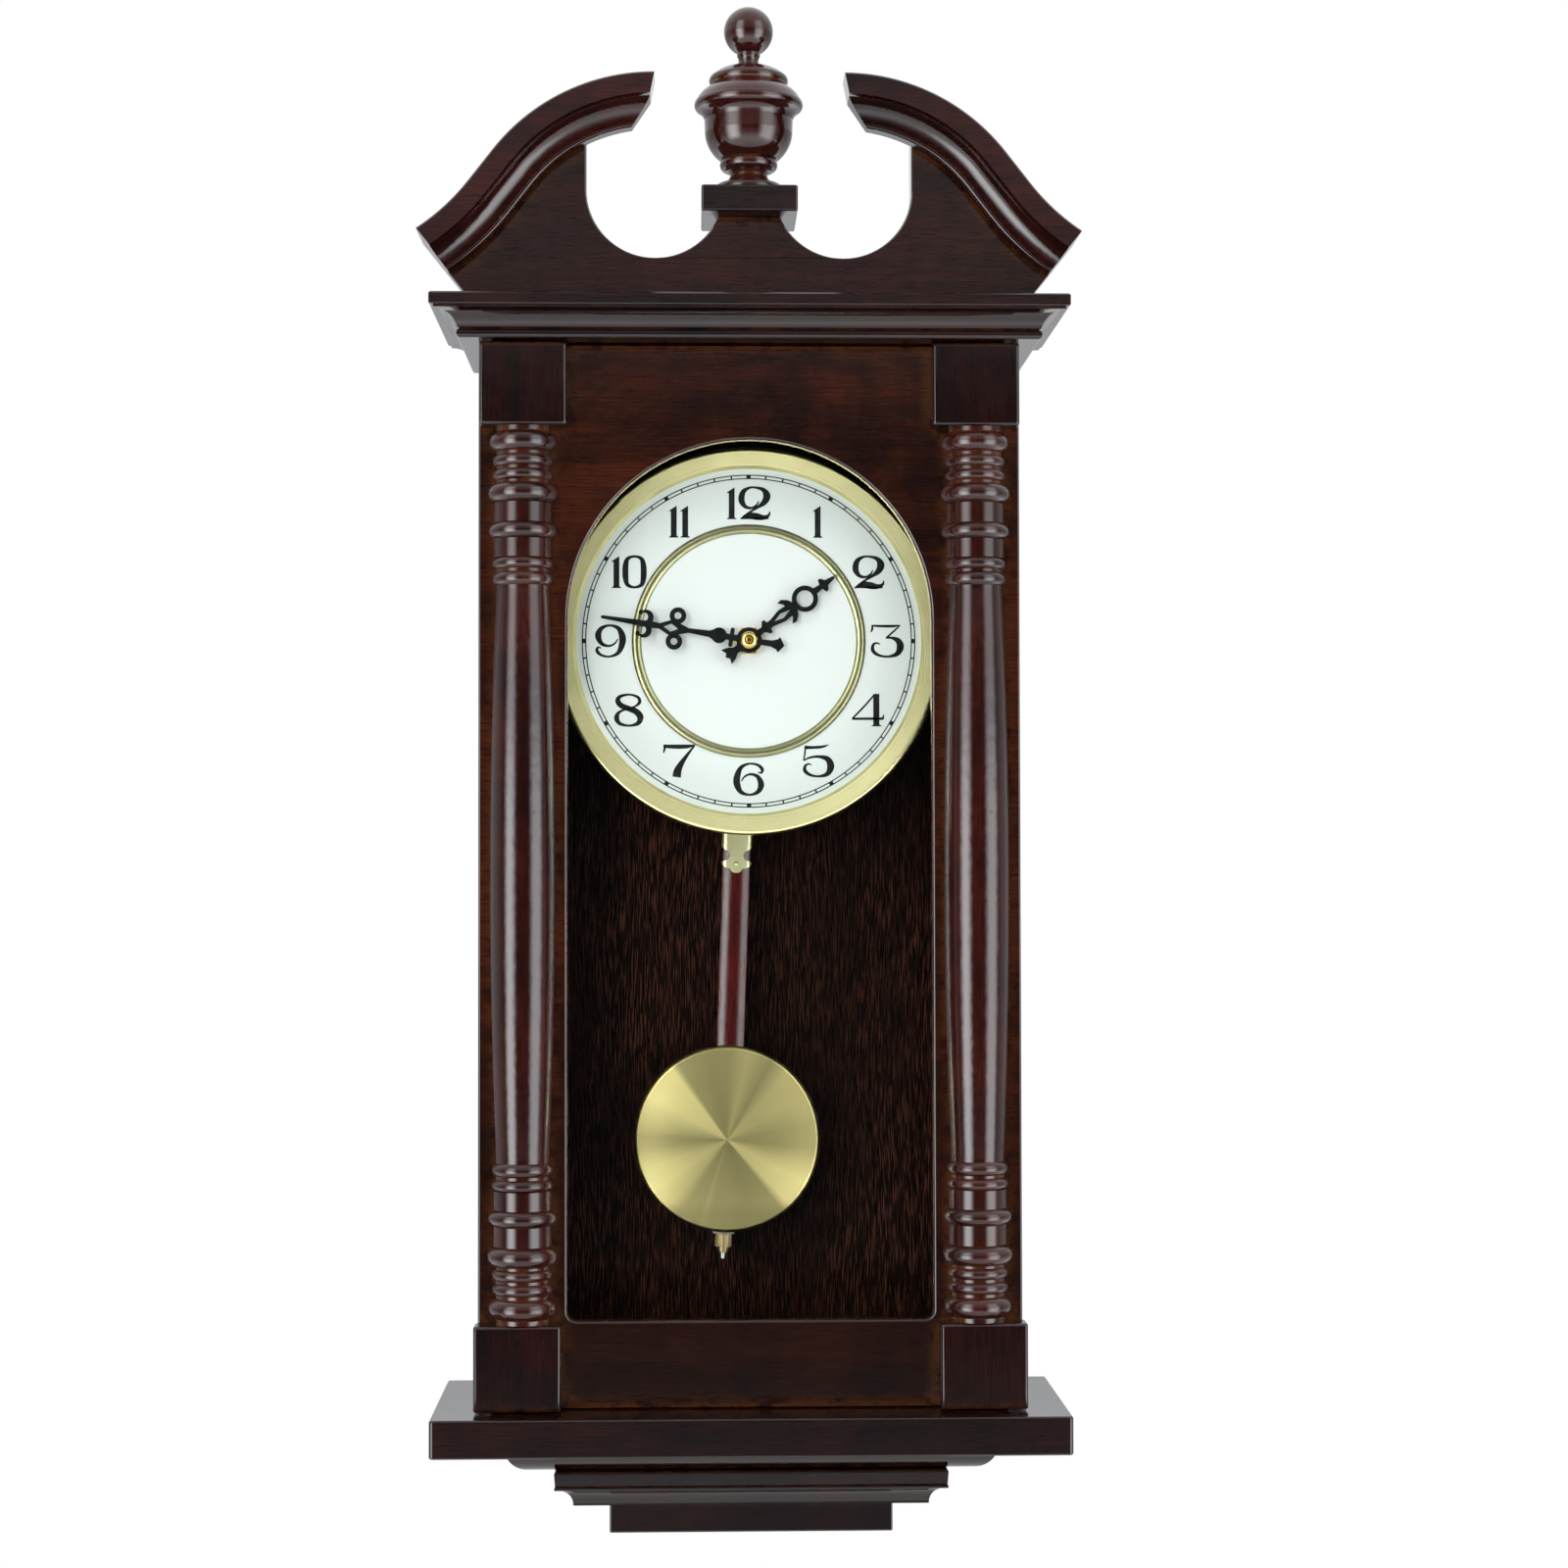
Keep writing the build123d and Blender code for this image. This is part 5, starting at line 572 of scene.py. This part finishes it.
def smooth_row(points, closed, steps=9):
    """Catmull-Rom curve through points of any dimension."""
    count = len(points)
    out = []
    for i in range(count if closed else count - 1):
        if closed:
            four = [points[(i + k) % count] for k in (-1, 0, 1, 2)]
        else:
            four = [points[min(max(i + k, 0), count - 1)] for k in (-1, 0, 1, 2)]
        for step in range(steps):
            t = step / steps
            out.append(tuple(
                0.5 * (2 * b + (c - a) * t + (2 * a - 5 * b + 4 * c - d) * t * t
                       + (3 * b - 3 * c + d - a) * t ** 3)
                for a, b, c, d in zip(*four)))
    if not closed:
        out.append(points[-1])
    return out


# the ink spreads a pen stroke by this factor and this share of the numeral's height
INK_SPREAD, INK_EXTRA = 1.16, 0.018


def pen_stroke(mesh, points, origin, size, closed):
    """Pen stroke through (x, height, width) points, given in shares of the numeral's height."""
    row = smooth_row(points, closed)
    left, right = [], []
    count = len(row)
    for i, (x, h, width) in enumerate(row):
        before = row[(i - 1) % count] if closed or i > 0 else row[i]
        after = row[(i + 1) % count] if closed or i < count - 1 else row[i]
        heading = Vector((after[0] - before[0], after[1] - before[1])).normalized()
        side = Vector((-heading.y, heading.x)) * (width * INK_SPREAD + INK_EXTRA) / 2
        left.append((origin[0] + (x + side.x) * size, origin[1] + (h + side.y) * size))
        right.append((origin[0] + (x - side.x) * size, origin[1] + (h - side.y) * size))
    band(mesh, left, right, closed)


# Each figure: its width, its open and its closed pen strokes and its straight-edged parts, all in
# shares of the height.
FIGURES = {
    "0": (0.70, [], [[(0.35, 0.975, .05), (0.56, 0.90, .09), (0.622, 0.70, .135), (0.63, 0.50, .145),
                      (0.622, 0.30, .135), (0.56, 0.10, .09), (0.35, 0.025, .05), (0.14, 0.10, .09),
                      (0.078, 0.30, .135), (0.07, 0.50, .145), (0.078, 0.70, .135), (0.14, 0.90, .09)]], []),
    "1": (0.29, [], [], [[(0.0, 0.80), (0.0, 0.83), (0.235, 0.985), (0.235, 0.06), (0.29, 0.022), (0.29, 0),
                          (0, 0), (0, 0.022), (0.055, 0.06), (0.055, 0.815)]]),
    "2": (0.98, [[(0.63, 0.56, .015), (0.55, 0.43, .035), (0.39, 0.345, .05), (0.20, 0.40, .09),
                  (0.095, 0.60, .15), (0.15, 0.84, .12), (0.33, 0.965, .055), (0.52, 0.978, .045),
                  (0.76, 0.91, .10), (0.875, 0.73, .18), (0.80, 0.53, .14), (0.58, 0.36, .06),
                  (0.32, 0.20, .04), (0.13, 0.05, .035), (0.07, 0.012, .02)],
                 [(0.13, 0.075, .02), (0.32, 0.115, .14), (0.55, 0.085, .17), (0.78, 0.055, .11),
                  (0.93, 0.12, .06), (0.965, 0.24, .015)]], [],
          [[(0.03, 0.0), (0.93, 0.0), (0.93, 0.05), (0.5, 0.06), (0.12, 0.045)]]),
    "3": (1.0, [[(0.04, 0.99, .02), (0.05, 0.88, .045), (0.0, 0.77, .015)],
                [(0.90, 0.985, .02), (0.74, 0.83, .035), (0.50, 0.615, .035)],
                [(0.46, 0.60, .03), (0.66, 0.595, .06), (0.85, 0.50, .14), (0.91, 0.31, .175),
                 (0.80, 0.10, .11), (0.52, 0.022, .045), (0.24, 0.065, .06), (0.07, 0.20, .085),
                 (0.07, 0.37, .06), (0.17, 0.44, .035), (0.29, 0.40, .015)]], [],
          [[(0.03, 1.0), (0.03, 0.95), (0.22, 0.925), (0.50, 0.915), (0.72, 0.92), (0.80, 0.94),
            (0.92, 1.0)]]),
    "4": (1.02, [[(0.70, 0.99, .03), (0.38, 0.62, .035), (0.02, 0.25, .035)],
                 [(0.97, 0.36, .015), (0.95, 0.27, .04), (0.94, 0.22, .06)]], [],
          [[(0.84, 1.0), (0.84, 0.05), (0.91, 0.02), (0.91, 0), (0.60, 0), (0.60, 0.02), (0.65, 0.05),
            (0.65, 0.88), (0.70, 1.0)],
           [(0.0, 0.195), (0.95, 0.195), (0.97, 0.285), (0.93, 0.275), (0.0, 0.27)]]),
    "5": (0.95, [[(0.085, 0.95, .03), (0.065, 0.72, .03), (0.03, 0.50, .02)],
                 [(0.03, 0.50, .015), (0.20, 0.59, .04), (0.48, 0.625, .06), (0.76, 0.55, .13),
                  (0.86, 0.33, .175), (0.76, 0.10, .11), (0.50, 0.022, .045), (0.24, 0.06, .06),
                  (0.07, 0.19, .085), (0.08, 0.34, .055), (0.18, 0.40, .03), (0.27, 0.37, .015)]], [],
          [[(0.07, 0.965), (0.07, 0.85), (0.30, 0.86), (0.56, 0.875), (0.70, 0.92), (0.83, 1.0),
            (0.56, 0.965), (0.30, 0.95)]]),
    "7": (1.0, [[(0.02, 1.0, .02), (0.04, 0.88, .045), (0.0, 0.74, .015)],
                [(0.955, 0.965, .03), (0.77, 0.73, .06), (0.57, 0.45, .12), (0.44, 0.20, .19),
                 (0.41, 0.0, .21)]], [],
          [[(0.02, 1.0), (0.02, 0.90), (0.22, 0.875), (0.50, 0.865), (0.74, 0.88), (0.90, 0.93),
            (0.99, 0.985), (0.99, 1.0)]]),
    "8": (0.92, [], [[(0.46, 0.545, .13), (0.68, 0.455, .15), (0.81, 0.29, .155), (0.74, 0.10, .10),
                      (0.47, 0.025, .045), (0.18, 0.09, .08), (0.085, 0.27, .12), (0.17, 0.44, .06),
                      (0.40, 0.535, .035), (0.66, 0.62, .04), (0.79, 0.75, .075), (0.73, 0.90, .06),
                      (0.47, 0.977, .04), (0.20, 0.92, .075), (0.12, 0.79, .12), (0.22, 0.645, .13)]], []),
    "9": (0.93, [[(0.70, 0.56, .015), (0.60, 0.42, .035), (0.42, 0.345, .05), (0.20, 0.42, .09),
                  (0.095, 0.66, .15), (0.19, 0.88, .10), (0.44, 0.975, .045), (0.71, 0.89, .10),
                  (0.835, 0.64, .165), (0.82, 0.38, .15), (0.70, 0.13, .09), (0.45, 0.022, .04),
                  (0.20, 0.06, .055), (0.06, 0.19, .075), (0.09, 0.30, .04), (0.19, 0.28, .015)]], [], []),
}
# millimetres, except the gap, which is a share of the height
NUMERAL_HEIGHT = 15.3
NUMERAL_RADIUS = 65.0
NUMERAL_GAP = 0.06


def drawing_of(character):
    """A 6 is drawn as a 9 turned round."""
    return FIGURES["9" if character == "6" else character]


def figure(mesh, character, x, height):
    """One figure with its lower left corner at (x, height)."""
    width, strokes, loops, shapes = drawing_of(character)

    def place(px, ph):
        return (width - px, 1 - ph) if character == "6" else (px, ph)

    for points, closed in [(p, False) for p in strokes] + [(p, True) for p in loops]:
        turned = [(*place(px, ph), w) for px, ph, w in points]
        pen_stroke(mesh, turned, (x, height), NUMERAL_HEIGHT, closed)
    for shape in shapes:
        turned = [place(px, ph) for px, ph in shape]
        prism(mesh, [(x + px * NUMERAL_HEIGHT, height + ph * NUMERAL_HEIGHT) for px, ph in turned])


def new_piece(name, mesh, material, body):
    """Makes an object of a bmesh and lets it ride on a body."""
    bmesh.ops.recalc_face_normals(mesh, faces=mesh.faces)
    data = bpy.data.meshes.new(name)
    mesh.to_mesh(data)
    mesh.free()
    piece = bpy.data.objects.new(name, data)
    bpy.context.scene.collection.objects.link(piece)
    data.materials.append(material)
    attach(piece, body)


def circle_row(radius, count=240):
    return [(radius * math.cos(2 * math.pi * i / count), radius * math.sin(2 * math.pi * i / count))
            for i in range(count)]


numerals = bmesh.new()
for hour in range(1, 13):
    text = str(hour)
    width = sum(drawing_of(character)[0] for character in text) + NUMERAL_GAP * (len(text) - 1)
    angle = math.radians(30 * hour)
    x = NUMERAL_RADIUS * math.sin(angle) - width * NUMERAL_HEIGHT / 2
    height = NUMERAL_RADIUS * math.cos(angle) - NUMERAL_HEIGHT / 2
    for character in text:
        figure(numerals, character, x, height)
        x += (drawing_of(character)[0] + NUMERAL_GAP) * NUMERAL_HEIGHT
new_piece("dial_numerals", numerals, printing_ink, "case")

# minute track, in millimetres: its two circles, their line, half the width of its marks and how far
# a five-minute mark reaches past the circles
TRACK_OUTER = 78.1
TRACK_INNER = 76.5
LINE = 0.52
MINUTE_HALF = 0.36
FIVE_MINUTE_HALF = 1.05
FIVE_MINUTE_REACH = 0.15
track = bmesh.new()
for radius in (TRACK_OUTER, TRACK_INNER):
    band(track, circle_row(radius + LINE / 2), circle_row(radius - LINE / 2), True)
for minute in range(60):
    half, reach = (MINUTE_HALF, -LINE / 3) if minute % 5 else (FIVE_MINUTE_HALF, FIVE_MINUTE_REACH)
    angle = math.radians(6 * minute)
    outward = Vector((math.sin(angle), math.cos(angle)))
    across = Vector((outward.y, -outward.x)) * half
    corners = []
    for radius, side in ((TRACK_INNER - reach, -1), (TRACK_INNER - reach, 1),
                         (TRACK_OUTER + reach, 1), (TRACK_OUTER + reach, -1)):
        corner = outward * radius + across * side
        corners.append((corner.x, corner.y))
    prism(track, corners)
new_piece("minute_track", track, printing_ink, "case")


# ---------------------------------------------------------------- floor, light, camera

low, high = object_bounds()
middle = (low + high) / 2
FLOOR_DROP = 0.30
FLOOR_REACH = 3.0
# distances from the middle between which the floor fades away
FADE_FROM, FADE_TO = 0.45, 1.15


def floor_material():
    """Pale matt floor that fades into the white surroundings away from the object."""
    s = Shader("floor_paint")
    out = s.vector("MULTIPLY", s.place, (1, 1, 0))
    away = s.between(s.vector("LENGTH", out, output="Value"), FADE_FROM, FADE_TO)
    grain = s.noise(s.place, 30, 3)
    paint = s.add("ShaderNodeBsdfPrincipled", {
        "Base Color": s.mix(s.between(grain, 0.3, 0.7), (0.80, 0.80, 0.79), (0.86, 0.86, 0.85)),
        "Roughness": 0.7, "Normal": s.bump(grain, 0.0002, 0.3)})
    clear = s.add("ShaderNodeBsdfTransparent")
    mixed = s.add("ShaderNodeMixShader", {0: away, 1: paint.outputs["BSDF"], 2: clear.outputs["BSDF"]})
    return s.finish(mixed.outputs["Shader"])


bpy.ops.mesh.primitive_plane_add(size=2 * FLOOR_REACH, location=(0, 0, low.z - FLOOR_DROP))
floor = bpy.context.object
floor.name = "floor"
floor.data.materials.append(floor_material())


# The room that the object mirrors.  Bearings are in radians, from straight behind the camera towards
# its right; a rise is the upward part of a direction; strengths are those of the light.
WHITE, EVEN_LIGHT = 1.0, 0.75
DARK_BEHIND, PALE_AHEAD = 0.04, 0.65
BEHIND_DEPTH, AHEAD_DEPTH = -0.60, 0.25
# each panel: its bearing, half width and strength, and the turns of the camera to the right, as sines,
# at which it is nearly gone, so that it does not flood the flat front, and at which it is whole
PANELS = ((-0.73, 0.26, 9.0, -0.22, -0.06), (0.92, 0.32, 6.0, 0.25, 0.08))
PANEL_SOFTNESS = 0.19
PANEL_LEFT_OVER = 0.08
# rise of the panels' middle, and how far from it they end and are whole
PANEL_MIDDLE, PANEL_END, PANEL_WHOLE = 0.05, 0.72, 0.48
# rises between which the upper part of the panels dims, and the share that it keeps
PANEL_DIM_FROM, PANEL_DIM_TO, PANEL_DIM = 0.045, 0.10, 0.5
# pale ceiling and floor: the rises between which each layer of them brightens, and its strength
LAYERS = ((0.145, 0.19, 0.40), (0.35, 0.85, 0.6), (-0.14, -0.19, 0.28), (-0.25, -0.65, 1.9))


def surroundings():
    """White seen directly; even soft light; and, as the object mirrors it, a dark space behind
    the camera between two tall panels of light in a pale room.  The panels go where the camera goes."""
    world = bpy.data.worlds.new("studio")
    bpy.context.scene.world = world
    world.cycles.sampling_method = "NONE"
    s = Shader("studio", world)
    seen = s.add("ShaderNodeTexCoord").outputs["Camera"]
    depth = s.split(seen, "Z")
    rise = s.split(s.place, "Z")
    ahead = s.add("ShaderNodeVectorTransform", {"Vector": (0.0, 0.0, 1.0)},
                  vector_type="VECTOR", convert_from="CAMERA", convert_to="WORLD")
    turn = s.split(ahead.outputs["Vector"], "X")
    bearing = s.math("ARCTAN2", s.split(seen, "X"), s.math("MULTIPLY", depth, -1.0))
    mirrored = s.between(depth, BEHIND_DEPTH, AHEAD_DEPTH, DARK_BEHIND, PALE_AHEAD)
    off_middle = s.math("ABSOLUTE", s.math("SUBTRACT", rise, PANEL_MIDDLE))
    height = s.math("MULTIPLY", s.between(off_middle, PANEL_END, PANEL_WHOLE),
                    s.between(rise, PANEL_DIM_FROM, PANEL_DIM_TO, 1.0, PANEL_DIM))
    for centre, half, strength, gone, whole in PANELS:
        off = s.math("ABSOLUTE", s.math("SUBTRACT", bearing, centre))
        across = s.between(off, half + PANEL_SOFTNESS, half - PANEL_SOFTNESS)
        kept = s.between(turn, gone, whole, PANEL_LEFT_OVER * strength, strength)
        lit = s.math("MULTIPLY", s.math("MULTIPLY", across, height), kept)
        mirrored = s.math("ADD", mirrored, lit)
    for begins, ends, strength in LAYERS:
        mirrored = s.math("ADD", mirrored, s.between(rise, begins, ends, 0.0, strength))

    def glow(colour, strength):
        return s.add("ShaderNodeBackground", {"Color": colour, "Strength": strength}).outputs[0]

    rays = s.add("ShaderNodeLightPath")
    indirect = s.add("ShaderNodeMixShader", {
        0: rays.outputs["Is Glossy Ray"],
        1: glow((0.96, 0.98, 1.0), EVEN_LIGHT),
        2: glow((0.95, 0.97, 1.0), mirrored)})
    everything = s.add("ShaderNodeMixShader", {
        0: rays.outputs["Is Camera Ray"], 1: indirect.outputs[0], 2: glow((1, 1, 1), WHITE)})
    output = s.add("ShaderNodeOutputWorld")
    s.put(output.inputs["Surface"], everything.outputs[0])


surroundings()


def softbox(name, location, width, height, power, colour=(1, 1, 1)):
    """Rectangular lamp turned towards the middle of the object; mirrored surfaces do not show it."""
    light = bpy.data.lights.new(name, "AREA")
    light.shape = "RECTANGLE"
    light.size = width
    light.size_y = height
    light.energy = power
    light.color = colour
    lamp = bpy.data.objects.new(name, light)
    bpy.context.scene.collection.objects.link(lamp)
    lamp.location = location
    lamp.visible_glossy = False
    lamp.rotation_euler = (middle - Vector(location)).to_track_quat("-Z", "Z").to_euler()


softbox("key_box", (-0.80, -2.05, middle.z + 0.25), 0.36, 1.5, 24.0, (1.0, 0.99, 0.97))
softbox("left_box", (-1.45, -0.55, middle.z + 0.10), 0.45, 1.7, 12.0, (0.97, 0.98, 1.0))
softbox("right_box", (1.45, -0.50, middle.z + 0.10), 0.50, 1.7, 18.0, (0.97, 0.98, 1.0))
softbox("top_box", (0.0, -0.85, middle.z + 1.45), 1.3, 0.7, 11.0)
softbox("back_box", (0.2, 1.5, middle.z + 0.9), 1.4, 1.0, 14.0)

CAMERA_PLACE = (-0.0276, -1.508, low.z + 0.302)
# turns in radians: upwards, to the right, about the line of sight
PITCH, YAW, ROLL = 0.0278, 0.0304, -0.0018
SENSOR_WIDTH = 36.0
FOCAL_LENGTH = 70.9
NEAR, FAR = 0.05, 50.0
camera = bpy.data.objects.new("camera", bpy.data.cameras.new("camera"))
bpy.context.scene.collection.objects.link(camera)
camera.data.sensor_width = SENSOR_WIDTH
camera.data.lens = FOCAL_LENGTH
camera.matrix_world = (
    Matrix.Translation(CAMERA_PLACE)
    @ Matrix.Rotation(-YAW, 4, "Z")
    @ Matrix.Rotation(math.pi / 2 + PITCH, 4, "X")
    @ Matrix.Rotation(ROLL, 4, "Z")
)
camera.data.clip_start = NEAR
camera.data.clip_end = FAR
bpy.context.scene.camera = camera
bpy.context.scene.view_settings.view_transform = "Standard"
